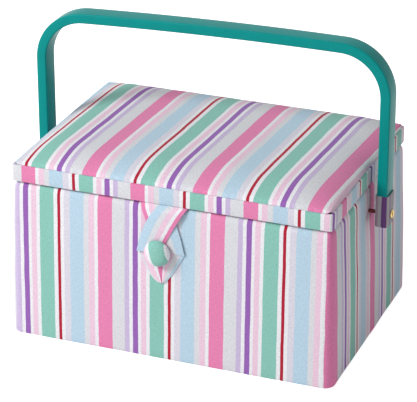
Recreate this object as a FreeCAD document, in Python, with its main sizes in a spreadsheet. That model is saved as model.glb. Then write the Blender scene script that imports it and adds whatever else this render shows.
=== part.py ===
"""Sewing box: a cloth-covered card box with a padded lid, a swing handle and a button-and-loop fastening.

Millimetres. +X to the right, +Y to the back, +Z up, origin in the middle of the underside.
"""
import FreeCAD, Part
import math
import os
import Sketcher

# Driving dimensions in millimetres; counts are plain numbers
DIMENSIONS = {
    # Card carcass
    "board_width": 250,
    "board_depth": 175,
    "wall_thick": 3,
    "wall_height": 121.8,
    "base_thick": 3,
    "base_cover_thick": 1.2,
    # Padded cloth wrap, thicker towards the foot, with a rolled rim over the boards
    "cloth": 0.8,
    "wadding_top": 3,
    "wadding_foot": 7,
    "hem_lift": 0.4,
    "rim_cap": 2.7,
    "rim_roll": 4,
    # Lining panels, floor and tray ledges
    "lining_thick": 2,
    "lining_drop": 3,
    "ledge_thick": 5,
    "tray_headroom": 14.5,
    # Lid frame
    "lid_overhang": 0.3,
    "lid_seat_gap": 0.3,
    "lid_rim_height": 13.4,
    "lid_rim_thick": 2,
    "lid_rim_corner": 2.6,
    "lid_rim_fold": 0.6,
    "lid_board_thick": 3,
    "lid_board_drop": 5.4,
    # Padded crown of the lid
    "crown_rise": 10.5,
    "crown_shoulder": 34,
    "crown_corner": 5,
    "crown_gap": 0.3,
    # Inside of the lid
    "lid_lining_thick": 2.5,
    "lid_lining_gap": 0.5,
    "pocket_side_margin": 13,
    "pocket_gap": 21,
    "pocket_swell": 3.2,
    "pocket_back_margin": 7,
    "elastic_width": 7,
    "elastic_swell": 3.8,
    "cushion_width": 84,
    "cushion_depth": 46,
    "cushion_height": 13,
    "cushion_corner": 12,
    "cushion_front_margin": 14,
    "cushion_shoulder": 14,
    # Cloth hinge across the back
    "hinge_length": 236,
    "hinge_cloth": 0.6,
    "hinge_lid_reach": 10,
    "hinge_wall_reach": 22,
    # Ribbon stays inside the two ends
    "ribbon_thick": 0.6,
    "ribbon_width": 10,
    "ribbon_length": 24,
    "ribbon_gap": 0.3,
    "ribbon_margin": 3,
    # Button and loop
    "closure_offset": 6.5,
    "loop_width": 40,
    "loop_length": 64,
    "strap_thick": 1.2,
    "loop_gap": 0.4,
    "button_drop": 37.8,
    "button_diameter": 21,
    "button_height": 7.5,
    "button_gap": 0.3,
    "shank_diameter": 5,
    "shank_room": 0.4,
    "eye_room": 2,
    "shank_disc_diameter": 13,
    "shank_disc_thick": 1,
    # Handle, its cuffs and its pivots
    "pivot_drop": 18.5,
    "handle_rise": 134.8,
    "handle_thick": 7.2,
    "handle_width": 14.5,
    "handle_edge": 2.2,
    "handle_corner": 41,
    "handle_bow": 1.5,
    "leg_drop": 6.5,
    "cuff_cloth": 1.4,
    "cuff_packing": 2.4,
    "cuff_side": 1.4,
    "cuff_edge": 2.6,
    "cuff_drop": 9,
    "cuff_height": 26,
    "pin_diameter": 4,
    "pin_clearance": 0.05,
    "pin_room": 0.4,
    "pin_flange_diameter": 11,
    "pin_flange_thick": 1,
    "pin_flange_room": 0.3,
    "rivet_head_diameter": 9,
    "rivet_head_height": 3,
    "washer_diameter": 9.5,
    "washer_thick": 3.75,
    "washer_gap": 0.3,
    # Lift-out tray
    "tray_gap": 3,
    "tray_height": 32,
    "tray_wall": 1.6,
    "tray_floor": 1.6,
    "tray_divider": 1.4,
    "tray_corner": 6,
    "tray_cell_corner": 4,
    "tray_flange": 1.5,
    "tray_flange_thick": 1.6,
    "tray_front_row": 54,
    "tray_back_cells": 4,
    "tray_grip_diameter": 22,
    # Length by which a cutting tool passes through
    "overrun": 5,
}

doc = FreeCAD.newDocument("sewing_box")
sheet = doc.addObject("Spreadsheet::Sheet", "dims")
for row, (alias, number) in enumerate(DIMENSIONS.items(), 1):
    sheet.set(f"A{row}", alias)
    sheet.set(f"B{row}", str(number))
    sheet.setAlias(f"B{row}", alias)
doc.recompute()

# Levels, from the underside up
HEM_TOP = "(dims.hem_lift + dims.cloth)"
BASE_TOP = "(dims.base_cover_thick + dims.base_thick)"
WALL_TOP = f"({BASE_TOP} + dims.wall_height)"
RIM_TOP = f"({WALL_TOP} + dims.rim_cap)"
FLOOR_TOP = f"({BASE_TOP} + dims.lining_thick)"
LINING_TOP = f"({WALL_TOP} - dims.lining_drop)"
LID_BOTTOM = f"({RIM_TOP} + dims.lid_seat_gap)"
LID_TOP = f"({LID_BOTTOM} + dims.lid_rim_height)"
LID_BOARD_TOP = f"({LID_TOP} - dims.lid_board_drop)"
LID_BOARD_BOTTOM = f"({LID_BOARD_TOP} - dims.lid_board_thick)"
LID_LINING_BOTTOM = f"({LID_BOARD_BOTTOM} - dims.lid_lining_thick)"
LEDGE_TOP = f"({LID_LINING_BOTTOM} - dims.cushion_height - dims.tray_headroom - dims.tray_height)"
PIVOT_LEVEL = f"({WALL_TOP} - dims.pivot_drop)"
BUTTON_LEVEL = f"({LID_BOTTOM} - dims.button_drop)"

# Half widths and half depths
HALF_WIDTH = "(dims.board_width / 2)"
HALF_DEPTH = "(dims.board_depth / 2)"
ROOM_WIDTH = f"({HALF_WIDTH} - dims.wall_thick - dims.lining_thick)"
ROOM_DEPTH = f"({HALF_DEPTH} - dims.wall_thick - dims.lining_thick)"
LID_MARGIN = "(dims.wadding_top + dims.cloth + dims.lid_overhang)"
LID_WIDTH = f"({HALF_WIDTH} + {LID_MARGIN})"
LID_DEPTH = f"({HALF_DEPTH} + {LID_MARGIN})"
LID_INNER_WIDTH = f"({LID_WIDTH} - dims.cloth - dims.lid_rim_thick)"
LID_INNER_DEPTH = f"({LID_DEPTH} - dims.cloth - dims.lid_rim_thick)"

# Outside corner of the lid's rim band, no rounder than the strips behind it can be
STRIP_CORNER_SHARE = 0.9
RIM_CORNER = f"min(dims.lid_rim_corner; dims.cloth + {STRIP_CORNER_SHARE} * dims.lid_rim_thick)"

# Slope of the padded walls: how far they lean out from the rim to the foot
FLARE = f"((dims.wadding_foot - dims.wadding_top) / ({WALL_TOP} - {HEM_TOP}))"

# Straight lines that stand for each quarter turn of an eased corner
CORNER_LINES = 2

pieces = []


def cover_thickness(level):
    """Wadding and cloth together, measured out from the boards at one level."""
    return f"(dims.cloth + dims.wadding_foot - {FLARE} * ({level} - {HEM_TOP}))"


def value(expression):
    """The number that an expression on the dimension sheet works out to."""
    result = sheet.evalExpression(expression)
    return float(getattr(result, "Value", result))


def keep(piece, label):
    """Names a finished piece after its node and puts it on the list to be written."""
    piece.Label = label
    pieces.append(piece)
    return piece


def place(thing, x="0", y="0", z="0"):
    """Binds where a thing stands."""
    for axis, expression in zip("xyz", (x, y, z)):
        thing.setExpression(f"Placement.Base.{axis}", expression)


def card(name, low, size):
    """A flat card panel, from its lowest corner."""
    panel = doc.addObject("Part::Box", name)
    for side, expression in zip(("Length", "Width", "Height"), size):
        panel.setExpression(side, expression)
    place(panel, *low)
    return panel


def drill(name, diameter, length, direction, x="0", y="0", z="0"):
    """A round cutting tool that points along a direction."""
    tool = doc.addObject("Part::Cylinder", name)
    tool.setExpression("Radius", f"({diameter}) / 2")
    tool.setExpression("Height", length)
    turn = FreeCAD.Rotation(FreeCAD.Vector(0, 0, 1), FreeCAD.Vector(*direction))
    tool.Placement = FreeCAD.Placement(FreeCAD.Vector(), turn)
    place(tool, x, y, z)
    return tool


def cut(name, blank, *tools):
    """A blank with tools taken out of it one after the other."""
    for number, tool in enumerate(tools):
        result = doc.addObject("Part::Cut", f"{name}_{number}")
        result.Base = blank
        result.Tool = tool
        blank = result
    return blank


def mirrored(source, label, normal):
    """The same piece on the other side of the box."""
    twin = doc.addObject("Part::Mirroring", label)
    twin.Source = source
    twin.Normal = FreeCAD.Vector(*normal)
    return keep(twin, label)


def new_body(name):
    return doc.addObject("PartDesign::Body", name)


def sketch_on(body, role, name, x="0", y="0", z="0"):
    """An empty sketch on one of the body's origin planes, shifted in the plane's own axes."""
    sketch = body.newObject("Sketcher::SketchObject", name)
    plane = next(feature for feature in body.Origin.OriginFeatures if feature.Role == role)
    sketch.AttachmentSupport = (plane, [""])
    sketch.MapMode = "FlatFace"
    for axis, expression in zip("xyz", (x, y, z)):
        sketch.setExpression(f"AttachmentOffset.Base.{axis}", expression)
    return sketch


def bind(sketch, constraint, name, expression):
    """Adds a dimension to a sketch and ties it to an expression."""
    index = sketch.addConstraint(constraint)
    sketch.renameConstraint(index, name)
    sketch.setExpression(f"Constraints.{name}", expression)


def outline(sketch, corners):
    """A closed run of straight lines, each corner tied to its own pair of expressions."""
    points = [FreeCAD.Vector(value(u), value(v), 0) for u, v in corners]
    count = len(points)
    for index in range(count):
        sketch.addGeometry(Part.LineSegment(points[index], points[(index + 1) % count]), False)
    for index in range(count):
        sketch.addConstraint(Sketcher.Constraint("Coincident", index, 2, (index + 1) % count, 1))
    for index, (u, v) in enumerate(corners):
        bind(sketch, Sketcher.Constraint("DistanceX", -1, 1, index, 1, points[index].x), f"u{index}", u)
        bind(sketch, Sketcher.Constraint("DistanceY", -1, 1, index, 1, points[index].y), f"v{index}", v)
    return sketch


def rectangle(sketch, half_width, half_depth):
    """A square-cornered rectangle about the sketch's origin."""
    low_x, low_y = f"-{half_width}", f"-{half_depth}"
    corners = [(low_x, low_y), (half_width, low_y), (half_width, half_depth), (low_x, half_depth)]
    return outline(sketch, corners)


def circle(sketch, diameter):
    """A circle about the sketch's own origin."""
    sketch.addGeometry(Part.Circle(FreeCAD.Vector(), FreeCAD.Vector(0, 0, 1), value(diameter) / 2), False)
    sketch.addConstraint(Sketcher.Constraint("Coincident", 0, 3, -1, 1))
    bind(sketch, Sketcher.Constraint("Diameter", 0, value(diameter)), "diameter", diameter)
    return sketch


def rounded_rectangle(sketch, half_width, half_depth, radius):
    """A rectangle about the sketch's origin with four equal round corners."""
    wide, deep, round_off = value(half_width), value(half_depth), value(radius)
    corners = [(-wide, -deep), (wide, -deep), (wide, deep), (-wide, deep)]
    for index in range(4):
        start = FreeCAD.Vector(*corners[index], 0)
        end = FreeCAD.Vector(*corners[(index + 1) % 4], 0)
        along = (end - start).normalize() * round_off
        sketch.addGeometry(Part.LineSegment(start + along, end - along), False)
    for index in range(4):
        x, y = corners[(index + 1) % 4]
        centre = FreeCAD.Vector(x - math.copysign(round_off, x), y - math.copysign(round_off, y), 0)
        turn = math.pi / 2 * (index - 1)
        ring = Part.Circle(centre, FreeCAD.Vector(0, 0, 1), round_off)
        sketch.addGeometry(Part.ArcOfCircle(ring, turn, turn + math.pi / 2), False)
    for index in range(4):
        sketch.addConstraint(Sketcher.Constraint("Tangent", index, 2, 4 + index, 1))
        sketch.addConstraint(Sketcher.Constraint("Tangent", 4 + index, 2, (index + 1) % 4, 1))
    sketch.addConstraint(Sketcher.Constraint("Horizontal", 2))
    sketch.addConstraint(Sketcher.Constraint("Vertical", 3))
    for index in range(5, 8):
        sketch.addConstraint(Sketcher.Constraint("Equal", 4, index))
    sketch.addConstraint(Sketcher.Constraint("Symmetric", 0, 1, 0, 2, -2))
    sketch.addConstraint(Sketcher.Constraint("Symmetric", 1, 1, 1, 2, -1))
    bind(sketch, Sketcher.Constraint("Radius", 4, round_off), "radius", radius)
    bind(sketch, Sketcher.Constraint("DistanceX", 3, 1, 1, 1, 2 * wide), "width", f"2 * {half_width}")
    bind(sketch, Sketcher.Constraint("DistanceY", 0, 1, 2, 1, 2 * deep), "depth", f"2 * {half_depth}")
    return sketch


def eased_rectangle(sketch, half_width, half_depth, radius):
    """A rectangle about the sketch's origin, its round corners drawn as a few short straight lines."""
    corners = []
    for across, along in ((1, 1), (-1, 1), (-1, -1), (1, -1)):
        for step in range(CORNER_LINES + 1):
            turn = math.pi / 2 * (step if across == along else CORNER_LINES - step) / CORNER_LINES
            pull_u, pull_v = 1 - math.cos(turn), 1 - math.sin(turn)
            corners.append((
                f"{across} * ({half_width} - {pull_u:.6f} * {radius})",
                f"{along} * ({half_depth} - {pull_v:.6f} * {radius})",
            ))
    return outline(sketch, corners)


def pad(body, sketch, length, both_ways=False, taper="0"):
    feature = body.newObject("PartDesign::Pad", f"{body.Name}_pad")
    feature.Profile = sketch
    feature.SideType = "Symmetric" if both_ways else "One side"
    feature.setExpression("Length", length)
    feature.setExpression("TaperAngle", taper)
    doc.recompute()
    return feature


def pocket(body, sketch, length, both_ways=False, upwards=False, taper="0"):
    """Cuts a sketch out of a body, and makes sure that it takes material away."""
    before = body.Shape.Volume
    feature = body.newObject("PartDesign::Pocket", f"{body.Name}_pocket")
    feature.Profile = sketch
    feature.SideType = "Symmetric" if both_ways else "One side"
    feature.Reversed = upwards
    feature.setExpression("Length", length)
    feature.setExpression("TaperAngle", taper)
    doc.recompute()
    if not body.Shape.Volume < before:
        raise RuntimeError(f"{feature.Name} cuts nothing")
    return feature


def revolve(body, sketch):
    """Turns a sketch all the way round its own horizontal axis."""
    feature = body.newObject("PartDesign::Revolution", f"{body.Name}_turn")
    feature.Profile = sketch
    feature.ReferenceAxis = (sketch, ["H_Axis"])
    feature.Angle = 360
    doc.recompute()
    return feature


def round_edges(body, feature, radius, chosen):
    """Rounds the edges of a feature whose middle point passes a test."""
    names = []
    for index, edge in enumerate(feature.Shape.Edges, 1):
        middle = edge.valueAt((edge.FirstParameter + edge.LastParameter) / 2)
        if chosen(edge, middle):
            names.append(f"Edge{index}")
    rounding = body.newObject("PartDesign::Fillet", f"{body.Name}_round")
    rounding.Base = (feature, names)
    rounding.setExpression("Radius", radius)
    doc.recompute()
    return rounding


def level_loft(body, sections, y="0"):
    """A straight-sided loft through eased rectangles given as (level, half width, half depth, corner)."""
    sketches = []
    for number, (level, half_width, half_depth, corner) in enumerate(sections):
        sketch = sketch_on(body, "XY_Plane", f"{body.Name}_level_{number}", y=y, z=level)
        sketches.append(eased_rectangle(sketch, half_width, half_depth, corner))
    loft = body.newObject("PartDesign::AdditiveLoft", f"{body.Name}_loft")
    loft.Profile = sketches[0]
    loft.Sections = sketches[1:]
    loft.Ruled = True
    doc.recompute()
    return loft


# Two places this close together count as the same place
SAME_PLACE = 0.0001


def near(number, expression):
    return math.isclose(number, value(expression), abs_tol=SAME_PLACE)


# Card carcass: base, four walls and the cover under the base
def make_carcass():
    outline_low = (f"-{HALF_WIDTH}", f"-{HALF_DEPTH}")
    cover = card(
        "base_cover",
        (*outline_low, "0"),
        ("dims.board_width", "dims.board_depth", "dims.base_cover_thick"),
    )
    keep(cover, "base_cover")
    base = card(
        "base_board",
        (*outline_low, "dims.base_cover_thick"),
        ("dims.board_width", "dims.board_depth", "dims.base_thick"),
    )
    keep(base, "base_board")

    long_wall = ("dims.board_width", "dims.wall_thick", "dims.wall_height")
    back_low = (f"-{HALF_WIDTH}", f"{HALF_DEPTH} - dims.wall_thick", BASE_TOP)
    keep(card("back_wall", back_low, long_wall), "back_wall")

    # The front wall takes the button's post, with a sunk seat inside for its disc
    blank = card("front_blank", (*outline_low, BASE_TOP), long_wall)
    middle = ("-dims.closure_offset", f"-{HALF_DEPTH} - dims.overrun", BUTTON_LEVEL)
    post = drill(
        "front_post_hole",
        "dims.shank_diameter + 2 * dims.shank_room",
        "dims.wall_thick + 2 * dims.overrun",
        (0, 1, 0),
        *middle,
    )
    seat = drill(
        "front_disc_seat",
        "dims.shank_disc_diameter + 2 * dims.shank_room",
        "dims.overrun",
        (0, 1, 0),
        "-dims.closure_offset",
        f"-{HALF_DEPTH} + dims.wall_thick - dims.shank_disc_thick",
        BUTTON_LEVEL,
    )
    keep(cut("front_wall", blank, post, seat), "front_wall")

    # The end walls carry the handle's pins in a running bore, with a sunk seat inside for the flange
    blank = card(
        "end_blank",
        (f"{HALF_WIDTH} - dims.wall_thick", f"-{HALF_DEPTH} + dims.wall_thick", BASE_TOP),
        ("dims.wall_thick", "dims.board_depth - 2 * dims.wall_thick", "dims.wall_height"),
    )
    bore = drill(
        "end_bore",
        "dims.pin_diameter + 2 * dims.pin_clearance",
        "dims.wall_thick + 2 * dims.overrun",
        (1, 0, 0),
        f"{HALF_WIDTH} - dims.wall_thick - dims.overrun",
        "0",
        PIVOT_LEVEL,
    )
    seat = drill(
        "end_flange_seat",
        "dims.pin_flange_diameter + 2 * dims.pin_flange_room",
        "dims.overrun + dims.pin_flange_thick + dims.pin_flange_room",
        (1, 0, 0),
        f"{HALF_WIDTH} - dims.wall_thick - dims.overrun",
        "0",
        PIVOT_LEVEL,
    )
    right = keep(cut("right_wall", blank, bore, seat), "right_wall")
    mirrored(right, "left_wall", (1, 0, 0))


# Wadding: four slabs that thicken from the rim to the foot, glued outside the boards
def make_wadding():
    def wedge(name, role, board_face, length):
        body = new_body(name)
        corners = [
            (board_face, HEM_TOP),
            (board_face, WALL_TOP),
            (f"{board_face} + dims.wadding_top", WALL_TOP),
            (f"{board_face} + dims.wadding_foot", HEM_TOP),
        ]
        pad(body, outline(sketch_on(body, role, f"{name}_profile"), corners), length, both_ways=True)
        return body

    back = keep(wedge("back_wadding", "YZ_Plane", HALF_DEPTH, "dims.board_width"), "back_wadding")
    facing = doc.addObject("Part::Mirroring", "front_wadding_blank")
    facing.Source = back
    facing.Normal = FreeCAD.Vector(0, 1, 0)
    post = drill(
        "wadding_post_hole",
        "dims.shank_diameter + 2 * dims.shank_room",
        "dims.wadding_foot + 2 * dims.overrun",
        (0, 1, 0),
        "-dims.closure_offset",
        f"-{HALF_DEPTH} - dims.wadding_foot - dims.overrun",
        BUTTON_LEVEL,
    )
    keep(cut("front_wadding", facing, post), "front_wadding")

    end = wedge("end_wadding_blank", "XZ_Plane", HALF_WIDTH, "dims.board_depth")
    hole = drill(
        "wadding_pin_hole",
        "dims.pin_diameter + 2 * dims.pin_room",
        "dims.wadding_foot + 2 * dims.overrun",
        (1, 0, 0),
        f"{HALF_WIDTH} - dims.overrun",
        "0",
        PIVOT_LEVEL,
    )
    right = keep(cut("right_wadding", end, hole), "right_wadding")
    mirrored(right, "left_wadding", (1, 0, 0))


# Cloth wrap: one sleeve round all four walls, rolled over the top of the boards
def make_wall_wrap():
    body = new_body("wall_wrap")
    taper = f"atan({FLARE})"
    foot = cover_thickness("dims.hem_lift")
    sleeve = sketch_on(body, "XY_Plane", "wrap_foot", z="dims.hem_lift")
    rounded_rectangle(sleeve, f"({HALF_WIDTH} + {foot})", f"({HALF_DEPTH} + {foot})", foot)
    block = pad(body, sleeve, f"{RIM_TOP} - dims.hem_lift", taper=f"-1 * {taper}")
    round_edges(body, block, "dims.rim_roll", lambda edge, middle: near(middle.z, RIM_TOP))
    inside = sketch_on(body, "XY_Plane", "wrap_inside", z=HEM_TOP)
    rounded_rectangle(
        inside,
        f"({HALF_WIDTH} + dims.wadding_foot)",
        f"({HALF_DEPTH} + dims.wadding_foot)",
        "dims.wadding_foot",
    )
    pocket(body, inside, f"{WALL_TOP} - {HEM_TOP}", upwards=True, taper=f"-1 * {taper}")
    mouth = sketch_on(body, "XY_Plane", "wrap_mouth", z=WALL_TOP)
    rectangle(mouth, f"({HALF_WIDTH} - dims.wall_thick)", f"({HALF_DEPTH} - dims.wall_thick)")
    pocket(body, mouth, "dims.rim_cap", upwards=True)
    underside = sketch_on(body, "XY_Plane", "wrap_underside", z="dims.hem_lift")
    pocket(body, rectangle(underside, HALF_WIDTH, HALF_DEPTH), "dims.cloth", upwards=True)
    pins = circle(
        sketch_on(body, "YZ_Plane", "wrap_pin_holes", y=PIVOT_LEVEL),
        "dims.pin_diameter + 2 * dims.pin_room",
    )
    pocket(body, pins, f"2 * ({HALF_WIDTH} + dims.wadding_foot + dims.overrun)", both_ways=True)
    post = circle(
        sketch_on(body, "XZ_Plane", "wrap_post_hole", x="-dims.closure_offset", y=BUTTON_LEVEL, z=HALF_DEPTH),
        "dims.shank_diameter + 2 * dims.shank_room",
    )
    pocket(body, post, "dims.wadding_foot + dims.overrun", upwards=True)
    keep(body, "wall_wrap")


# Lining: cloth-covered card inside the walls, a floor panel, and two ledges that carry the tray
def make_lining():
    inner_width = f"({HALF_WIDTH} - dims.wall_thick)"
    inner_depth = f"({HALF_DEPTH} - dims.wall_thick)"
    floor_low = (f"-{inner_width}", f"-{inner_depth}", BASE_TOP)
    floor_size = (f"2 * {inner_width}", f"2 * {inner_depth}", "dims.lining_thick")
    keep(card("floor_lining", floor_low, floor_size), "floor_lining")
    long_panel = (f"2 * {inner_width}", "dims.lining_thick", f"{LINING_TOP} - {FLOOR_TOP}")
    keep(card("front_lining", (f"-{inner_width}", f"-{inner_depth}", FLOOR_TOP), long_panel), "front_lining")
    keep(card("back_lining", (f"-{inner_width}", ROOM_DEPTH, FLOOR_TOP), long_panel), "back_lining")
    end_panel = ("dims.lining_thick", f"2 * {ROOM_DEPTH}", f"{LINING_TOP} - {FLOOR_TOP}")
    keep(card("right_lining", (ROOM_WIDTH, f"-{ROOM_DEPTH}", FLOOR_TOP), end_panel), "right_lining")
    keep(card("left_lining", (f"-{inner_width}", f"-{ROOM_DEPTH}", FLOOR_TOP), end_panel), "left_lining")
    ledge = ("dims.ledge_thick", f"2 * {ROOM_DEPTH}", f"{LEDGE_TOP} - {FLOOR_TOP}")
    ledge_low = (f"{ROOM_WIDTH} - dims.ledge_thick", f"-{ROOM_DEPTH}", FLOOR_TOP)
    right = keep(card("right_tray_ledge", ledge_low, ledge), "right_tray_ledge")
    mirrored(right, "left_tray_ledge", (1, 0, 0))


# Lid frame: four rim strips round a board, with a cloth band folded over their edges
def make_lid_frame():
    half_width = f"({LID_WIDTH} - dims.cloth)"
    half_depth = f"({LID_DEPTH} - dims.cloth)"
    level = f"({LID_BOTTOM} + dims.lid_rim_fold)"
    height = "dims.lid_rim_height - 2 * dims.lid_rim_fold"

    strip = new_body("lid_back_rim")
    corners = [
        (f"-{half_width}", LID_INNER_DEPTH),
        (half_width, LID_INNER_DEPTH),
        (half_width, half_depth),
        (f"-{half_width}", half_depth),
    ]
    block = pad(strip, outline(sketch_on(strip, "XY_Plane", "rim_plan", z=level), corners), height)
    round_edges(
        strip,
        block,
        f"{RIM_CORNER} - dims.cloth",
        lambda edge, middle: near(middle.y, half_depth) and near(abs(middle.x), half_width),
    )
    keep(strip, "lid_back_rim")
    mirrored(strip, "lid_front_rim", (0, 1, 0))
    end_low = (LID_INNER_WIDTH, f"-{LID_INNER_DEPTH}", level)
    end = card("lid_right_rim", end_low, ("dims.lid_rim_thick", f"2 * {LID_INNER_DEPTH}", height))
    keep(end, "lid_right_rim")
    mirrored(end, "lid_left_rim", (1, 0, 0))

    board_low = (f"-{LID_INNER_WIDTH}", f"-{LID_INNER_DEPTH}", LID_BOARD_BOTTOM)
    board_size = (f"2 * {LID_INNER_WIDTH}", f"2 * {LID_INNER_DEPTH}", "dims.lid_board_thick")
    keep(card("lid_board", board_low, board_size), "lid_board")

    band = new_body("lid_rim_band")
    outer = sketch_on(band, "XY_Plane", "band_outside", z=LID_BOTTOM)
    pad(band, rounded_rectangle(outer, LID_WIDTH, LID_DEPTH, RIM_CORNER), "dims.lid_rim_height")
    hollow = sketch_on(band, "XY_Plane", "band_hollow", z=LID_BOTTOM)
    pocket(band, rectangle(hollow, LID_INNER_WIDTH, LID_INNER_DEPTH), "dims.lid_rim_height", upwards=True)
    channel = sketch_on(band, "XY_Plane", "band_channel", z=level)
    channel_corner = f"({RIM_CORNER} - dims.cloth)"
    pocket(band, rounded_rectangle(channel, half_width, half_depth, channel_corner), height, upwards=True)
    keep(band, "lid_rim_band")


# Padded crown: a foam pad that swells over the lid board, under a tight cloth cover
CROWN_LEVELS = 7


def make_crown():
    def crown(name, grow):
        body = new_body(name)
        swell = "(dims.lid_board_drop + dims.crown_rise - dims.cloth)"
        sections = []
        for number in range(CROWN_LEVELS):
            angle = math.pi / 2 * number / (CROWN_LEVELS - 1)
            rise_share, inset_share = math.sin(angle), 1 - math.cos(angle)
            inset = f"(dims.crown_gap + dims.cloth - {grow} + {inset_share:.6f} * dims.crown_shoulder)"
            lift = f"{rise_share:.6f} * {swell} + {grow if number else 0}"
            sections.append((
                f"{LID_BOARD_TOP} + {lift}",
                f"({LID_INNER_WIDTH} - {inset})",
                f"({LID_INNER_DEPTH} - {inset})",
                f"(dims.crown_corner + {grow} + {inset_share:.6f} * dims.crown_shoulder / 2)",
            ))
        level_loft(body, sections)
        return body

    foam = keep(crown("lid_pad", "0"), "lid_pad")
    outer = crown("lid_cover_outside", "dims.cloth")
    keep(cut("lid_cover", outer, foam), "lid_cover")


# Inside of the lid: lining panel, gathered pocket with its elastic, and a pin cushion
CUSHION_RISE_SHARES = (0.0, 0.2, 0.45, 0.7, 0.88, 1.0)
CUSHION_INSET_SHARES = (0.12, 0.0, 0.06, 0.24, 0.52, 1.0)


def make_lid_inside():
    half_width = f"({LID_INNER_WIDTH} - dims.lid_lining_gap)"
    half_depth = f"({LID_INNER_DEPTH} - dims.lid_lining_gap)"
    lining_low = (f"-{half_width}", f"-{half_depth}", LID_LINING_BOTTOM)
    lining_size = (f"2 * {half_width}", f"2 * {half_depth}", "dims.lid_lining_thick")
    keep(card("lid_lining", lining_low, lining_size), "lid_lining")

    pocket_back = f"({ROOM_DEPTH} - dims.pocket_back_margin)"
    cushion_back = f"(-{ROOM_DEPTH} + dims.cushion_front_margin + dims.cushion_depth)"
    mouth = f"({cushion_back} + dims.pocket_gap + dims.elastic_width)"
    pocket_width = f"2 * ({ROOM_WIDTH} - dims.pocket_side_margin)"
    pouch = new_body("lid_pocket")
    profile = [
        (pocket_back, LID_LINING_BOTTOM),
        (mouth, f"{LID_LINING_BOTTOM} - dims.pocket_swell + dims.cloth"),
        (mouth, f"{LID_LINING_BOTTOM} - dims.pocket_swell"),
        (f"{pocket_back} - dims.pocket_swell", f"{LID_LINING_BOTTOM} - dims.pocket_swell"),
        (pocket_back, f"{LID_LINING_BOTTOM} - dims.cloth"),
    ]
    side = outline(sketch_on(pouch, "YZ_Plane", "pocket_profile"), profile)
    pad(pouch, side, pocket_width, both_ways=True)
    keep(pouch, "lid_pocket")

    band = new_body("pocket_elastic")
    hang = f"({LID_LINING_BOTTOM} - dims.elastic_swell)"
    section = sketch_on(band, "YZ_Plane", "elastic_section")
    corners = [
        (f"{mouth} - dims.elastic_width", hang),
        (mouth, hang),
        (mouth, LID_LINING_BOTTOM),
        (f"{mouth} - dims.elastic_width", LID_LINING_BOTTOM),
    ]
    pad(band, outline(section, corners), pocket_width, both_ways=True)
    keep(band, "pocket_elastic")

    cushion = new_body("pin_cushion")
    middle = f"({cushion_back} - dims.cushion_depth / 2)"
    sections = []
    for rise, inset in zip(CUSHION_RISE_SHARES, CUSHION_INSET_SHARES):
        pull = f"{inset} * dims.cushion_shoulder"
        sections.append((
            f"{LID_LINING_BOTTOM} - {rise} * dims.cushion_height",
            f"(dims.cushion_width / 2 - {pull})",
            f"(dims.cushion_depth / 2 - {pull})",
            f"(dims.cushion_corner - {inset} * dims.cushion_corner / 2)",
        ))
    level_loft(cushion, sections, y=middle)
    keep(cushion, "pin_cushion")


# Cloth hinge: one strip across the back, glued to the wall wrap and to the lid's rim band
def make_hinge():
    body = new_body("hinge_cloth")
    low = f"({WALL_TOP} - dims.hinge_wall_reach)"
    fold = f"({RIM_TOP} - dims.rim_roll)"
    back_low = f"({HALF_DEPTH} + {cover_thickness(low)})"
    back_fold = f"({HALF_DEPTH} + {cover_thickness(fold)})"
    high = f"({LID_BOTTOM} + dims.hinge_lid_reach)"
    inner = [(back_low, low), (back_fold, fold), (LID_DEPTH, LID_BOTTOM), (LID_DEPTH, high)]
    outer = [(f"{depth} + dims.hinge_cloth", level) for depth, level in reversed(inner)]
    profile = outline(sketch_on(body, "YZ_Plane", "hinge_profile"), inner + outer)
    pad(body, profile, "dims.hinge_length", both_ways=True)
    keep(body, "hinge_cloth")


# Ribbon stays: a short strip inside each end, close to the hinge, from the end lining to the lid's lining
def make_stays():
    low = (
        f"({ROOM_WIDTH} - dims.ribbon_gap - dims.ribbon_thick)",
        f"({ROOM_DEPTH} - dims.ribbon_margin - dims.ribbon_width)",
        f"({LID_LINING_BOTTOM} - dims.ribbon_gap - dims.ribbon_length)",
    )
    size = ("dims.ribbon_thick", "dims.ribbon_width", "dims.ribbon_length")
    right = keep(card("right_lid_stay", low, size), "right_lid_stay")
    mirrored(right, "left_lid_stay", (1, 0, 0))


# Fastening loop: a strip crossed over itself and folded to a point, hung from the lid's front rim
OVER_STRAP_SHARES = ((-0.055, 0.0), (0.54, 0.0), (-0.195, 0.84), (-0.5, 0.585))
UNDER_STRAP_SHARES = ((-0.41, 0.0), (0.2, 0.0), (0.5, 0.585), (0.195, 0.84))
POINT_SHARES = ((-0.5, 0.585), (0.0, 0.3), (0.5, 0.585), (0.0, 1.0))


def make_loop():
    body = new_body("closure_loop")

    def strap(name, shares, thick, lift="0"):
        corners = [(f"{across} * dims.loop_width", f"-{down} * dims.loop_length") for across, down in shares]
        pad(body, outline(sketch_on(body, "XZ_Plane", name, z=lift), corners), thick)

    strap("loop_point", POINT_SHARES, "dims.strap_thick")
    strap("loop_under", UNDER_STRAP_SHARES, "dims.strap_thick")
    strap("loop_over", OVER_STRAP_SHARES, "dims.strap_thick", lift="dims.strap_thick")
    eye = sketch_on(body, "XZ_Plane", "loop_eye", y="-dims.button_drop")
    pocket(
        body,
        circle(eye, "dims.shank_diameter + 2 * dims.eye_room"),
        "4 * dims.strap_thick + dims.overrun",
        both_ways=True,
    )
    lean = FreeCAD.Rotation(FreeCAD.Vector(-1, 0, 0), 1)
    body.Placement = FreeCAD.Placement(FreeCAD.Vector(), lean)
    body.setExpression("Placement.Rotation.Angle", f"atan({FLARE})")
    place(
        body,
        "-dims.closure_offset",
        f"-{HALF_DEPTH} - {cover_thickness(LID_BOTTOM)} - dims.loop_gap",
        f"{LID_BOTTOM} - dims.lid_seat_gap",
    )
    keep(body, "closure_loop")


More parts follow.
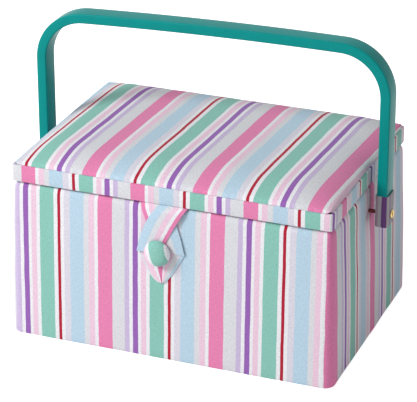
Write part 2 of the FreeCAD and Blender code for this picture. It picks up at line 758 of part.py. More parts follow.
# Covered button on the front wall, with the post and disc that hold it; its dome as (height, radius) shares
BUTTON_SHARES = ((0.0, 0.9), (0.3, 1.0), (0.75, 0.8), (1.0, 0.3), (1.0, 0.0))


def make_button():
    wall = f"(-{HALF_DEPTH} - {cover_thickness(BUTTON_LEVEL)})"
    back = f"({wall} - dims.loop_gap - 2 * dims.strap_thick - dims.button_gap)"
    head = new_body("closure_button")
    sketch = sketch_on(head, "YZ_Plane", "button_half", y=BUTTON_LEVEL, z="-dims.closure_offset")
    corners = [(back, "0")]
    for height, radius in BUTTON_SHARES:
        corners.append((f"{back} - {height} * dims.button_height", f"{radius} * dims.button_diameter / 2"))
    revolve(head, outline(sketch, corners))
    keep(head, "closure_button")

    post = new_body("button_shank")
    sketch = sketch_on(post, "YZ_Plane", "shank_half", y=BUTTON_LEVEL, z="-dims.closure_offset")
    seat = f"(-{HALF_DEPTH} + dims.wall_thick - dims.shank_disc_thick)"
    shank, disc_radius = "(dims.shank_diameter / 2)", "(dims.shank_disc_diameter / 2)"
    inner = f"({seat} + dims.shank_disc_thick)"
    corners = [
        (back, "0"),
        (back, shank),
        (seat, shank),
        (seat, disc_radius),
        (inner, disc_radius),
        (inner, "0"),
    ]
    revolve(post, outline(sketch, corners))
    keep(post, "button_shank")


# Handle: a moulded bail, a cloth cuff on each end, and a riveted pin through each cuff into the wall
WASHER_LOW = f"({PIVOT_LEVEL} - dims.washer_diameter / 2)"
WASHER_INNER = f"({HALF_WIDTH} + {cover_thickness(WASHER_LOW)} + dims.washer_gap)"
WASHER_OUTER = f"({WASHER_INNER} + dims.washer_thick)"
CUFF_INNER = f"({WASHER_OUTER} + dims.washer_gap)"
LEG_OUTER = f"({CUFF_INNER} + dims.cuff_packing + dims.handle_thick)"
LEG_MIDDLE = f"({LEG_OUTER} - dims.handle_thick / 2)"
CUFF_OUTER = f"({LEG_OUTER} + dims.cuff_cloth)"


def make_bail():
    body = new_body("handle_bail")
    foot = f"({PIVOT_LEVEL} - dims.leg_drop)"
    section = sketch_on(body, "XY_Plane", "bail_section", x=LEG_MIDDLE, z=foot)
    eased_rectangle(section, "(dims.handle_thick / 2)", "(dims.handle_width / 2)", "dims.handle_edge")
    path = sketch_on(body, "XZ_Plane", "bail_path")
    bend = "(dims.handle_corner - dims.handle_thick / 2)"
    crest = f"({PIVOT_LEVEL} + dims.handle_rise - dims.handle_thick / 2)"
    bow = f"(({LEG_MIDDLE} - {bend}) ^ 2 / (2 * dims.handle_bow))"
    leg, turn, wide = value(LEG_MIDDLE), value(bend), value(bow)
    start, hub = value(foot), value(f"{crest} - {bow}")
    side = leg - turn
    tilt = math.asin(side / (wide - turn))
    spring = hub + (wide - turn) * math.cos(tilt)
    square, upright = math.pi / 2, FreeCAD.Vector(0, 0, 1)
    path.addGeometry(Part.LineSegment(FreeCAD.Vector(leg, start, 0), FreeCAD.Vector(leg, spring, 0)), False)
    right = Part.Circle(FreeCAD.Vector(side, spring, 0), upright, turn)
    path.addGeometry(Part.ArcOfCircle(right, 0, square - tilt), False)
    bar = Part.Circle(FreeCAD.Vector(0, hub, 0), upright, wide)
    path.addGeometry(Part.ArcOfCircle(bar, square - tilt, square + tilt), False)
    left = Part.Circle(FreeCAD.Vector(-side, spring, 0), upright, turn)
    path.addGeometry(Part.ArcOfCircle(left, square + tilt, 2 * square), False)
    path.addGeometry(Part.LineSegment(FreeCAD.Vector(-leg, spring, 0), FreeCAD.Vector(-leg, start, 0)), False)
    for index in range(4):
        path.addConstraint(Sketcher.Constraint("Tangent", index, 2, index + 1, 1))
    path.addConstraint(Sketcher.Constraint("Vertical", 0))
    path.addConstraint(Sketcher.Constraint("Vertical", 4))
    path.addConstraint(Sketcher.Constraint("Equal", 1, 3))
    path.addConstraint(Sketcher.Constraint("Symmetric", 0, 1, 4, 2, -2))
    path.addConstraint(Sketcher.Constraint("PointOnObject", 2, 3, -2))
    bind(path, Sketcher.Constraint("Radius", 1, turn), "bend", bend)
    bind(path, Sketcher.Constraint("Radius", 2, wide), "bow", bow)
    bind(path, Sketcher.Constraint("DistanceX", -1, 1, 0, 1, leg), "leg", LEG_MIDDLE)
    bind(path, Sketcher.Constraint("DistanceY", -1, 1, 0, 1, start), "foot", foot)
    bind(path, Sketcher.Constraint("DistanceY", -1, 1, 2, 3, hub), "hub", f"{crest} - {bow}")
    doc.recompute()
    sweep = body.newObject("PartDesign::AdditivePipe", "bail_sweep")
    sweep.Profile = section
    sweep.Spine = (path, [f"Edge{number}" for number in range(1, 6)])
    doc.recompute()
    holes = sketch_on(body, "YZ_Plane", "bail_pin_holes", y=PIVOT_LEVEL)
    pocket(
        body,
        circle(holes, "dims.pin_diameter + 2 * dims.pin_clearance"),
        f"2 * ({LEG_OUTER} + dims.overrun)",
        both_ways=True,
    )
    keep(body, "handle_bail")


def make_cuffs():
    body = new_body("right_cuff")
    bottom = f"({PIVOT_LEVEL} - dims.cuff_drop)"
    middle = f"(({CUFF_INNER} + {CUFF_OUTER}) / 2)"
    half_thick = f"(({CUFF_OUTER} - {CUFF_INNER}) / 2)"
    half_width = "(dims.handle_width / 2 + dims.cuff_side)"
    sleeve = sketch_on(body, "XY_Plane", "cuff_outside", x=middle, z=bottom)
    pad(body, eased_rectangle(sleeve, half_thick, half_width, "dims.cuff_edge"), "dims.cuff_height")
    socket = sketch_on(body, "XY_Plane", "cuff_socket", x=LEG_MIDDLE, z=f"{PIVOT_LEVEL} - dims.leg_drop")
    eased_rectangle(socket, "(dims.handle_thick / 2)", "(dims.handle_width / 2)", "dims.handle_edge")
    pocket(body, socket, "dims.cuff_height", upwards=True)
    hole = sketch_on(body, "YZ_Plane", "cuff_pin_hole", y=PIVOT_LEVEL, z=CUFF_INNER)
    pocket(
        body,
        circle(hole, "dims.pin_diameter + 2 * dims.pin_clearance"),
        f"2 * ({CUFF_OUTER} - {CUFF_INNER}) + dims.overrun",
        both_ways=True,
    )
    keep(body, "right_cuff")
    mirrored(body, "left_cuff", (1, 0, 0))


# Rivet's domed head with its hollow middle, as (height, radius) shares
HEAD_SHARES = ((0.0, 1.0), (0.6, 0.9), (1.0, 0.5), (0.7, 0.0))


def make_pivots():
    pin = new_body("right_pivot_rivet")
    sketch = sketch_on(pin, "XZ_Plane", "rivet_half", y=PIVOT_LEVEL)
    flange = f"({HALF_WIDTH} - dims.wall_thick + dims.pin_flange_thick)"
    flange_back = f"({flange} - dims.pin_flange_thick)"
    head = f"({CUFF_OUTER} + dims.pin_clearance)"
    shank, flange_radius = "(dims.pin_diameter / 2)", "(dims.pin_flange_diameter / 2)"
    corners = [
        (flange_back, "0"),
        (flange_back, flange_radius),
        (flange, flange_radius),
        (flange, shank),
        (head, shank),
    ]
    for height, radius in HEAD_SHARES:
        rise = f"{height} * dims.rivet_head_height"
        corners.append((f"{head} + {rise}", f"{radius} * dims.rivet_head_diameter / 2"))
    revolve(pin, outline(sketch, corners))
    keep(pin, "right_pivot_rivet")
    mirrored(pin, "left_pivot_rivet", (1, 0, 0))

    ring = new_body("right_pivot_washer")
    bore, rim = "(dims.pin_diameter / 2 + dims.pin_clearance)", "(dims.washer_diameter / 2)"
    sketch = sketch_on(ring, "XZ_Plane", "washer_half", y=PIVOT_LEVEL)
    faces = [(WASHER_INNER, bore), (WASHER_INNER, rim), (WASHER_OUTER, rim), (WASHER_OUTER, bore)]
    revolve(ring, outline(sketch, faces))
    keep(ring, "right_pivot_washer")
    mirrored(ring, "left_pivot_washer", (1, 0, 0))


# Lift-out tray: one moulded piece with a long front cell and a row of small cells behind it
def make_tray():
    body = new_body("tray")
    half_width, half_depth = f"({ROOM_WIDTH} - dims.tray_gap)", f"({ROOM_DEPTH} - dims.tray_gap)"
    top = f"({LEDGE_TOP} + dims.tray_height)"
    tub = sketch_on(body, "XY_Plane", "tray_plan", z=LEDGE_TOP)
    pad(body, rounded_rectangle(tub, half_width, half_depth, "dims.tray_corner"), "dims.tray_height")
    lip = sketch_on(body, "XY_Plane", "tray_lip", z=f"{top} - dims.tray_flange_thick")
    rounded_rectangle(
        lip,
        f"({half_width} + dims.tray_flange)",
        f"({half_depth} + dims.tray_flange)",
        "(dims.tray_corner + dims.tray_flange)",
    )
    pad(body, lip, "dims.tray_flange_thick")

    def cell(name, half_wide, half_deep, x, y):
        plan = sketch_on(body, "XY_Plane", name, x=x, y=y, z=f"{LEDGE_TOP} + dims.tray_floor")
        rounded_rectangle(plan, half_wide, half_deep, "dims.tray_cell_corner")
        pocket(body, plan, "dims.tray_height", upwards=True)

    inner_width, inner_depth = f"({half_width} - dims.tray_wall)", f"({half_depth} - dims.tray_wall)"
    half_row = "(dims.tray_front_row / 2)"
    cell("tray_front_cell", inner_width, half_row, "0", f"-{inner_depth} + {half_row}")
    back_row = f"(2 * {inner_depth} - dims.tray_front_row - dims.tray_divider)"
    count = int(DIMENSIONS["tray_back_cells"])
    pitch = f"((2 * {inner_width} + dims.tray_divider) / dims.tray_back_cells)"
    for number in range(count):
        cell(
            f"tray_back_cell_{number}",
            f"(({pitch} - dims.tray_divider) / 2)",
            f"({back_row} / 2)",
            f"-{inner_width} + {number} * {pitch} + ({pitch} - dims.tray_divider) / 2",
            f"{inner_depth} - {back_row} / 2",
        )
    for name, place_x in (("right", half_width), ("left", f"-{half_width}")):
        grip = sketch_on(body, "YZ_Plane", f"tray_{name}_grip", y=top, z=place_x)
        circle(grip, "dims.tray_grip_diameter")
        pocket(body, grip, "2 * (dims.tray_wall + dims.tray_flange)", both_ways=True)
    keep(body, "tray")


make_carcass()
make_wadding()
make_wall_wrap()
make_lining()
make_lid_frame()
make_crown()
make_lid_inside()
make_hinge()
make_stays()
make_loop()
make_button()
make_bail()
make_cuffs()
make_pivots()
make_tray()

doc.recompute()
for thing in doc.Objects:
    if {"Invalid", "Error"} & set(thing.State):
        raise RuntimeError(f"{thing.Label} failed: {thing.State}")
    if thing.TypeId == "Sketcher::SketchObject" and not thing.FullyConstrained:
        raise RuntimeError(f"{thing.Label} is not fully constrained")
for piece in pieces:
    if piece.Shape.isNull() or not piece.Shape.isValid():
        raise RuntimeError(f"{piece.Label} has no valid shape")
os.makedirs("parts", exist_ok=True)
for piece in pieces:
    piece.Shape.exportStep(f"parts/{piece.Label}.step")
print(len(pieces), "pieces written")
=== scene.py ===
import math

import bmesh
import bpy
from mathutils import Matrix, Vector, noise


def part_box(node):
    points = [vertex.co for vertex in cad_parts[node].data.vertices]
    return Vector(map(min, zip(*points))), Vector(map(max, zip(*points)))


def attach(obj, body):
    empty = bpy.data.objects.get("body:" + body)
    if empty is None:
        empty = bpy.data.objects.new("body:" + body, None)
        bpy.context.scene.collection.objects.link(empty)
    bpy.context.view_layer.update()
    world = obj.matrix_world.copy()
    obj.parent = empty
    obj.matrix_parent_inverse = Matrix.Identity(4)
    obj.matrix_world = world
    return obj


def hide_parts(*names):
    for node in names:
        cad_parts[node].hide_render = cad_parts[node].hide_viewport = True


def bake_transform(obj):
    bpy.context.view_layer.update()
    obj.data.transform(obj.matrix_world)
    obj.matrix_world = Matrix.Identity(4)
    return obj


# Sewing box: striped cotton over padded card, a moulded swing handle, and a button-and-loop fastening
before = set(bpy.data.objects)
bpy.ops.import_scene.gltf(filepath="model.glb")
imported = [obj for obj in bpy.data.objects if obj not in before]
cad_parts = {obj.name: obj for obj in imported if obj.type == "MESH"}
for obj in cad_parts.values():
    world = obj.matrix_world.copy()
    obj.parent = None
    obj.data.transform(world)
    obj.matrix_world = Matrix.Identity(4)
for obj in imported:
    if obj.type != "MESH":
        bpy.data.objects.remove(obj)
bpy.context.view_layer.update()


# Grey-board carcass: the base, four walls, and the lid's board with its four rim strips.
# Pulp board, cut and glued at the corners; cloth hides nearly all of it once the box is covered.
class Level:
    """A shader socket that can be reckoned with: each operator adds a Math node to its tree."""

    def __init__(self, shading, socket):
        self.shading = shading
        self.socket = socket

    def reckon(self, operation, first, second):
        return self.shading.node("ShaderNodeMath", {"operation": operation}, {0: first, 1: second})

    def __add__(self, other):
        return self.reckon("ADD", self, other)

    def __sub__(self, other):
        return self.reckon("SUBTRACT", self, other)

    def __rsub__(self, other):
        return self.reckon("SUBTRACT", other, self)

    def __mul__(self, other):
        return self.reckon("MULTIPLY", self, other)

    __radd__ = __add__
    __rmul__ = __mul__


class Shading:
    """A node tree, with one method that adds any node and gives back one of its outputs."""

    def __init__(self, tree):
        self.tree = tree

    def node(self, kind, settings, sockets, output=0):
        made = self.tree.nodes.new(kind)
        for name, setting in settings.items():
            if name == "stops":
                made.color_ramp.interpolation = "CONSTANT"
                stops = made.color_ramp.elements
                for number, (place, colour) in enumerate(setting):
                    stop = stops[0] if number == 0 else stops.new(place)
                    stop.position = place
                    stop.color = colour
                stops.remove(stops[-1])
            else:
                setattr(made, name, setting)
        for name, value in sockets.items():
            self.join(made.inputs[name], value)
        return Level(self, made.outputs[output])

    def join(self, socket, value):
        if isinstance(value, Level):
            self.tree.links.new(value.socket, socket)
        else:
            socket.default_value = value

    def noise(self, spot, scale, detail=2.0):
        return self.node("ShaderNodeTexNoise", {}, {"Vector": spot, "Scale": scale, "Detail": detail})

    def mix(self, share, first, second, blend="MIX"):
        settings = {"data_type": "RGBA", "blend_type": blend}
        return self.node("ShaderNodeMix", settings, {0: share, 6: first, 7: second}, 2)

    def object_spot(self):
        return self.node("ShaderNodeTexCoord", {}, {}, "Object")


class Finish(Shading):
    """One material: a Principled shader with its plain numbers, to which patterns are fed."""

    def __init__(self, name, numbers):
        self.material = bpy.data.materials.new(name)
        self.material.use_nodes = True
        super().__init__(self.material.node_tree)
        self.shader = self.tree.nodes["Principled BSDF"]
        for socket, number in numbers.items():
            self.feed(socket, number)

    def feed(self, name, value):
        self.join(self.shader.inputs[name], value)

    def bump(self, height, depth, strength=1.0):
        sockets = {"Height": height, "Distance": depth, "Strength": strength}
        self.feed("Normal", self.node("ShaderNodeBump", {}, sockets))


def screen(red, green, blue):
    """A colour as a screen shows it, 0 to 255, in the shader's own linear terms."""
    def linear(part):
        part /= 255
        return part / 12.92 if part <= 0.04045 else ((part + 0.055) / 1.055) ** 2.4
    return (linear(red), linear(green), linear(blue), 1)


BOARD_GRAIN = 0.0002


def grey_board():
    finish = Finish("grey_board", {"Roughness": 0.95})
    fibre = finish.noise(finish.object_spot(), 700, 4)
    finish.feed("Base Color", finish.mix(fibre, screen(142, 130, 112), screen(178, 166, 148)))
    finish.bump(fibre, BOARD_GRAIN)
    return finish.material


def dress(node, material):
    """A CAD piece whose shape is right keeps its mesh and takes a finish."""
    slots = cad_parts[node].data.materials
    slots.clear()
    slots.append(material)


SIDES = ("front", "back", "left", "right")
BOARD = grey_board()
dress("base_board", BOARD)
dress("lid_board", BOARD)
for side in SIDES:
    dress(f"{side}_wall", BOARD)
    dress(f"lid_{side}_rim", BOARD)


# Underside: a sheet of grey felt glued to the base board, the face that the box stands on.
# Pressed wool felt, a little fluffy, cut to the board's size.
FELT_TUFT = 0.0005
FELT_EASE = 0.0002
WELD = 1e-6
FLAT_ANGLE = math.radians(2)
SHARP_ANGLE = math.radians(50)


def grey_felt():
    finish = Finish("grey_felt", {"Roughness": 1.0, "Sheen Weight": 0.3})
    spot = finish.object_spot()
    tuft = finish.noise(spot, 420, 5) * 0.6 + finish.noise(spot, 2400) * 0.4
    finish.feed("Base Color", finish.mix(tuft, screen(150, 147, 152), screen(208, 205, 210)))
    finish.bump(tuft, FELT_TUFT)
    return finish.material


def finished(name, mesh, material, creased=None):
    """A mesh that is ready becomes a smooth-shaded object, with edges past the creased angle left sharp."""
    data = bpy.data.meshes.new(name)
    mesh.to_mesh(data)
    mesh.free()
    data.materials.append(material)
    data.polygons.foreach_set("use_smooth", [True] * len(data.polygons))
    if creased:
        data.set_sharp_from_angle(angle=math.radians(creased))
    made = bpy.data.objects.new(name, data)
    bpy.context.scene.collection.objects.link(made)
    return made


def eased(node, body, material, ease):
    """A CAD piece copied with its sharp edges rounded, standing for the CAD node."""
    mesh = bmesh.new()
    mesh.from_mesh(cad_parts[node].data)
    bmesh.ops.remove_doubles(mesh, verts=mesh.verts, dist=WELD)
    bmesh.ops.dissolve_limit(mesh, angle_limit=FLAT_ANGLE, verts=mesh.verts, edges=mesh.edges)
    sharp = [edge for edge in mesh.edges if edge.calc_face_angle(0) > SHARP_ANGLE]
    bmesh.ops.bevel(mesh, geom=sharp, offset=ease, affect="EDGES", segments=3, profile=0.5, material=-1,
                    clamp_overlap=True)
    bmesh.ops.triangulate(mesh, faces=[face for face in mesh.faces if len(face.verts) > 4])
    made = finished(f"{node}_finish", mesh, material, creased=25)
    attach(made, body)
    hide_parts(node)
    return made


felt = eased("base_cover", "box", grey_felt(), FELT_EASE)


# Padded wall covering: one sleeve of striped cotton over fibre wadding, round all four walls.
# It is turned under at the foot, rolled over the rim, and drawn in where the handle's pins go through.
REPEAT = 0.092
WHITE = screen(240, 241, 243)
GREY_WHITE = screen(222, 224, 227)
PALE_PINK = screen(240, 206, 224)
# Each stripe of the print: where it starts, as a share of the repeat, and its colour
STRIPES = (
    (0.0, screen(140, 201, 186)),
    (0.128, WHITE),
    (0.163, screen(180, 16, 52)),
    (0.19, WHITE),
    (0.22, screen(222, 220, 230)),
    (0.277, screen(188, 216, 232)),
    (0.402, GREY_WHITE),
    (0.447, PALE_PINK),
    (0.499, WHITE),
    (0.53, screen(234, 134, 180)),
    (0.658, GREY_WHITE),
    (0.77, screen(206, 190, 222)),
    (0.815, WHITE),
    (0.846, screen(154, 100, 182)),
    (0.892, WHITE),
    (0.92, PALE_PINK),
    (0.965, WHITE),
)
STRIPE_DRIFT = 0.0009
WEAVE_DEPTH = 0.00035
THREAD = (2600, 420, 1)
CROSS_THREAD = (420, 2600, 1)


def striped_cotton(name, dull, bright):
    """Printed cotton: the stripes follow the cloth's own map, in metres, under a plain weave."""
    finish = Finish(name, {"Sheen Weight": 0.12, "Sheen Roughness": 0.5, "Specular IOR Level": 0.25})
    chart = finish.node("ShaderNodeUVMap", {"uv_map": "cloth"}, {}, "UV")
    across = finish.node("ShaderNodeSeparateXYZ", {}, {"Vector": chart}, "X")
    drift = finish.noise(chart, 45) - 0.5
    place = (across + drift * STRIPE_DRIFT) * (1 / REPEAT)
    share = finish.node("ShaderNodeMath", {"operation": "FRACT"}, {0: place})
    stripe = finish.node("ShaderNodeValToRGB", {"stops": STRIPES}, {"Fac": share}, "Color")
    warp = finish.noise(finish.node("ShaderNodeMapping", {}, {"Vector": chart, "Scale": THREAD}), 1)
    weft = finish.noise(finish.node("ShaderNodeMapping", {}, {"Vector": chart, "Scale": CROSS_THREAD}), 1)
    slub = finish.noise(chart, 900, 3)
    weave = warp * 0.35 + weft * 0.35 + slub * 0.3
    shade = finish.mix(weave * 2.4 - 0.7, dull, bright)
    finish.feed("Base Color", finish.mix(1.0, stripe, shade, "MULTIPLY"))
    finish.feed("Roughness", weave * 0.2 + 0.72)
    finish.bump(weave, WEAVE_DEPTH, 0.7)
    return finish.material


def woven(columns, rows, place):
    """Cloth: a grid whose crossings go where place(column, row) says, mapped in metres of cloth."""
    mesh = bmesh.new()
    bmesh.ops.create_grid(mesh, x_segments=columns, y_segments=rows, size=0.5)
    chart = mesh.loops.layers.uv.new("cloth")
    spots = {}
    for vert in mesh.verts:
        spots[vert] = place(round((vert.co.x + 0.5) * columns), round((vert.co.y + 0.5) * rows))
    for face in mesh.faces:
        for corner in face.loops:
            corner[chart].uv = spots[corner.vert][1]
    for vert, (spot, _) in spots.items():
        vert.co = spot
    bmesh.ops.remove_doubles(mesh, verts=mesh.verts, dist=WELD)
    bmesh.ops.recalc_face_normals(mesh, faces=mesh.faces)
    return mesh


def spaced(low, high, coarse, fine=None, centre=0, reach=0):
    """Places from low to high, coarse apart, or fine apart within reach of the centre."""
    places = [low]
    while places[-1] < high:
        step = fine if abs(places[-1] - centre) < reach else coarse
        places.append(min(places[-1] + step, high))
    return places


LEFTWARDS, FORWARDS = Vector((-1, 0, 0)), Vector((0, -1, 0))
# The four sides in turn from the back left: the way along each, and the way it faces
COURSES = ((FORWARDS, LEFTWARDS), (-LEFTWARDS, FORWARDS), (-FORWARDS, -LEFTWARDS), (LEFTWARDS, -FORWARDS))


def stations(half_wide, half_deep, long_steps, short_steps, facets):
    """Spots round a rectangle from its back left, each with the way it faces; corners turn in facets."""
    found = []
    for along, out in COURSES:
        half, far, steps = half_deep, half_wide, short_steps
        if along.x:
            half, far, steps = half_wide, half_deep, long_steps
        for step in steps:
            found.append((along * step + out * far, out))
        for facet in range(1, facets):
            angle = math.pi / 2 * facet / facets
            found.append((along * half + out * far, out * math.cos(angle) + along * math.sin(angle)))
    return found + found[:1]


def measured(spots, reach, end_give=1, front_give=1):
    """Cloth from the front's left corner to each station, at a reach from it; flat sides give a little."""
    used = [0.0]
    for (spot, out), (ahead, turned) in zip(spots, spots[1:]):
        length = (ahead + turned * reach - spot - out * reach).length
        if out == turned and out.x:
            length *= end_give
        elif out == turned == FORWARDS:
            length *= front_give
        used.append(used[-1] + length)
    front = next(number for number, (_, out) in enumerate(spots) if out == FORWARDS)
    return [length - used[front] for length in used]


wrap_low, wrap_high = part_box("wall_wrap")
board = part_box("base_board")[1]
wall_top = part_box("front_wall")[1].z
lid_low, lid_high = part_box("lid_rim_band")
washer_low, washer_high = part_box("right_pivot_washer")
pin_level = (washer_low.z + washer_high.z) / 2
CORNER_EASE = 0.001
RIM_TUCK = 0.0003
RIM_ROLL = 0.0062
ROLL_STEPS = 8
LINING_GAP = 0.0002
CLOTH = 0.0004
WALL_SWELL = 0.0005
FOOT_FOLD = 0.0009
foot_out = wrap_high.x - board.x
rim_out = lid_high.x - board.x - RIM_TUCK
roll_level = wrap_high.z - RIM_ROLL
lining_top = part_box("front_lining")[1].z
board_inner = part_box("right_wall")[0].x - board.x
# Spacing of the cloth's crossings on the walls, and closer about the pins
WALL_GRID = 0.006
PIN_ROW = 0.0011
PIN_COLUMN = 0.0014
PIN_ABOVE = 0.013
PIN_BESIDE = 0.022


def wall_out(level):
    """How far the covering stands out from the boards at a level, full to the foot and a little swollen."""
    rise = (level - wrap_low.z) / (wall_top - wrap_low.z)
    return foot_out + (rim_out - foot_out) * rise + WALL_SWELL * math.sin(math.pi * min(max(rise, 0), 1))


def wall_section():
    """The sleeve's section as (outwards, level): hem, foot, wall, rolled rim, then back down behind it."""
    rows = [(LINING_GAP, wrap_low.z), (foot_out - FOOT_FOLD, wrap_low.z)]
    rows.append((foot_out - FOOT_FOLD / 4, wrap_low.z + FOOT_FOLD / 4))
    for level in spaced(wrap_low.z + FOOT_FOLD, roll_level, WALL_GRID, PIN_ROW, pin_level, PIN_ABOVE):
        rows.append((wall_out(level), level))
    middle = wall_out(roll_level) - RIM_ROLL
    for step in range(1, ROLL_STEPS + 1):
        angle = math.pi / 2 * step / ROLL_STEPS
        rows.append((middle + RIM_ROLL * math.cos(angle), roll_level + RIM_ROLL * math.sin(angle)))
    inner = board_inner - CLOTH
    rows.append((inner, wrap_high.z - CLOTH))
    rows.append((inner, lining_top + LINING_GAP))
    rows.append((board_inner - LINING_GAP, lining_top + LINING_GAP))
    rows.append((board_inner - LINING_GAP, wall_top + LINING_GAP))
    rows.append((LINING_GAP, wall_top + LINING_GAP))
    return rows + rows[:1]


DIMPLE = 0.0006
DIMPLE_REACH = 0.011
CREASE = 0.0008
CREASE_WIDTH = 0.0012
CREASE_REACH = 0.013
CREASE_FALL = 0.3


def drawn_in(spot):
    """How far the rivets pull the end padding in: a dimple, and a sharp crease either side of the pin."""
    sideways, upwards = spot.y, spot.z - pin_level
    dimple = DIMPLE * math.exp(-(sideways ** 2 + upwards ** 2) / DIMPLE_REACH ** 2)
    crease = CREASE * math.exp(-((upwards + CREASE_FALL * abs(sideways)) / CREASE_WIDTH) ** 2)
    return dimple + crease * math.exp(-(sideways / CREASE_REACH) ** 2)


BACK_FULL = 0.0015
BACK_FROM = 0.05


def pushed_back(at):
    """How much further out the padding of the back stands, growing over the ends' last stretch."""
    fade = min(max((wrap_high.z - at.z) / RIM_ROLL, 0), 1)
    return BACK_FULL * fade * max(0, at.y - BACK_FROM) / (wrap_high.y - BACK_FROM)


UNEVEN = 0.00035
WALL_PITCH = 38
WALL_FACETS = 6
FACES_END = 0.99
WRAP_LIE = 0.0048
END_GIVE = 0.99
FRONT_GIVE = 1.0071
FIRST_GREEN = 0.10585
# The first green stripe on the front starts this far along the cloth from the front's left corner
FRONT_START = FIRST_GREEN - (board.x - CORNER_EASE)
COTTON = striped_cotton("striped_cotton", screen(206, 203, 208), screen(255, 255, 255))


def make_wall_wrap():
    half_wide, half_deep = board.x - CORNER_EASE, board.y - CORNER_EASE
    long_steps = spaced(-half_wide, half_wide, WALL_GRID)
    short_steps = spaced(-half_deep, half_deep, WALL_GRID, PIN_COLUMN, 0, PIN_BESIDE)
    posts = stations(half_wide, half_deep, long_steps, short_steps, WALL_FACETS)
    used = measured(posts, WRAP_LIE, END_GIVE, FRONT_GIVE)
    rows = wall_section()
    climbed = [0.0]
    for (out, level), (next_out, next_level) in zip(rows, rows[1:]):
        climbed.append(climbed[-1] + math.hypot(next_out - out, next_level - level))

    def place(column, row):
        spot, out = posts[column]
        reach, level = rows[row]
        at = spot + out * (reach + CORNER_EASE)
        at.z = level
        outside = reach > LINING_GAP * 2
        push = pushed_back(at) if outside else 0
        at.y += push
        if outside and wrap_low.z < level < roll_level + RIM_ROLL / 2:
            at += out * UNEVEN * noise.noise(at * WALL_PITCH)
            if abs(out.x) > FACES_END:
                at -= out * min(drawn_in(at), reach - CLOTH)
        return at, (used[column] + math.copysign(push, used[column]) + FRONT_START, climbed[row])

    return finished("wall_wrap_cotton", woven(len(posts) - 1, len(rows) - 1, place), COTTON)


wrap = make_wall_wrap()
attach(wrap, "box")
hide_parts("wall_wrap", *[f"{side}_wadding" for side in SIDES])


# Lining: card panels covered in plain cotton, glued inside the walls and on the floor.
# Two ledges of the same covered card stand at the ends to carry the tray.
LINING_EASE = 0.0006
THREAD_DEPTH = 0.0002


def plain_cotton(name, colour, shade):
    finish = Finish(name, {"Roughness": 0.85, "Sheen Weight": 0.15, "Specular IOR Level": 0.25})
    spot = finish.object_spot()
    thread = finish.noise(spot, 2600) * 0.5 + finish.noise(spot, 500, 4) * 0.5
    finish.feed("Base Color", finish.mix(thread, shade, colour))
    finish.bump(thread, THREAD_DEPTH, 0.6)
    return finish.material


LINING = plain_cotton("lining_cotton", screen(238, 226, 234), screen(214, 198, 212))
PANELS = ["floor_lining"] + [f"{side}_lining" for side in SIDES] + ["left_tray_ledge", "right_tray_ledge"]
for panel in PANELS:
    eased(panel, "box", LINING, LINING_EASE)


# Covered button on the front: a shell with the striped cotton drawn over its dome, on a short post.
# The post goes through the wall to a disc behind it; a green stripe of the print crosses the dome.
BUTTON_TILT = math.radians(16)
BUTTON_GREEN = 0.064
BUTTON_SHIFT = 0.002
BUTTON_SKIRT_SHARE = 0.3
# The skirt's outline, as shares of the button's radius and of the skirt's height
SKIRT_SHARES = ((0, 0), (0.82, 0), (0.94, 0.25), (0.99, 0.65))
DOME_STEPS = 9
DOME_FULL = 0.8
SHANK_EASE = 0.0002


def turned(outline, centre, axis, side, steps):
    """A piece turned on a lathe: (radius, along) points spun about an axis through the centre."""
    mesh = bmesh.new()
    verts = [mesh.verts.new(centre + side * radius + axis * along) for radius, along in outline]
    edges = [mesh.edges.new(pair) for pair in zip(verts, verts[1:])]
    bmesh.ops.spin(mesh, geom=verts + edges, cent=centre, axis=axis, angle=math.tau, steps=steps,
                   use_merge=True)
    bmesh.ops.remove_doubles(mesh, verts=mesh.verts, dist=WELD)
    bmesh.ops.recalc_face_normals(mesh, faces=mesh.faces)
    return mesh


def make_button():
    low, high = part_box("closure_button")
    radius, height = (high.x - low.x) / 2, high.y - low.y
    back = Vector(((low.x + high.x) / 2, high.y, (low.z + high.z) / 2))
    skirt = height * BUTTON_SKIRT_SHARE
    outline = [(radius * wide, skirt * tall) for wide, tall in SKIRT_SHARES]
    for step in range(DOME_STEPS):
        angle = math.pi / 2 * step / DOME_STEPS
        outline.append((radius * math.cos(angle) ** DOME_FULL, skirt + (height - skirt) * math.sin(angle)))
    outline.append((0, height))
    mesh = turned(outline, back, Vector((0, -1, 0)), Vector((1, 0, 0)), steps=48)
    chart = mesh.loops.layers.uv.new("cloth")
    for face in mesh.faces:
        for corner in face.loops:
            away = corner.vert.co - back
            along = away.x * math.cos(BUTTON_TILT) + away.z * math.sin(BUTTON_TILT) - BUTTON_SHIFT
            corner[chart].uv = (BUTTON_GREEN * REPEAT + along, away.z)
    return finished("button_cotton", mesh, COTTON, creased=50)


def dull_plastic():
    finish = Finish("dull_plastic", {"Specular IOR Level": 0.4})
    grain = finish.noise(finish.object_spot(), 1500, 3)
    finish.feed("Base Color", finish.mix(grain, screen(140, 138, 142), screen(168, 166, 170)))
    finish.feed("Roughness", grain * 0.2 + 0.4)
    return finish.material


button = make_button()
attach(button, "box")
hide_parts("closure_button")
eased("button_shank", "box", dull_plastic(), SHANK_EASE)


# Lid rim: a band of the striped cotton folded round the four card strips, with crisp creases.
# Its stripes run upright and in the other order from the walls'; a groove parts it from the crown.
RIM_FOLD = 0.0007
FOLD_STEPS = 3
RIM_FACETS = 5
RIM_CORNER = 0.0026
RIM_LAP = 0.00015
RIM_HEM = 0.0015
RIM_REPEAT = 0.0903
RIM_GREEN = -0.0609
RIM_GIVE = 0.99
RIM_UNEVEN = UNEVEN / 2
RIM_PITCH = 60


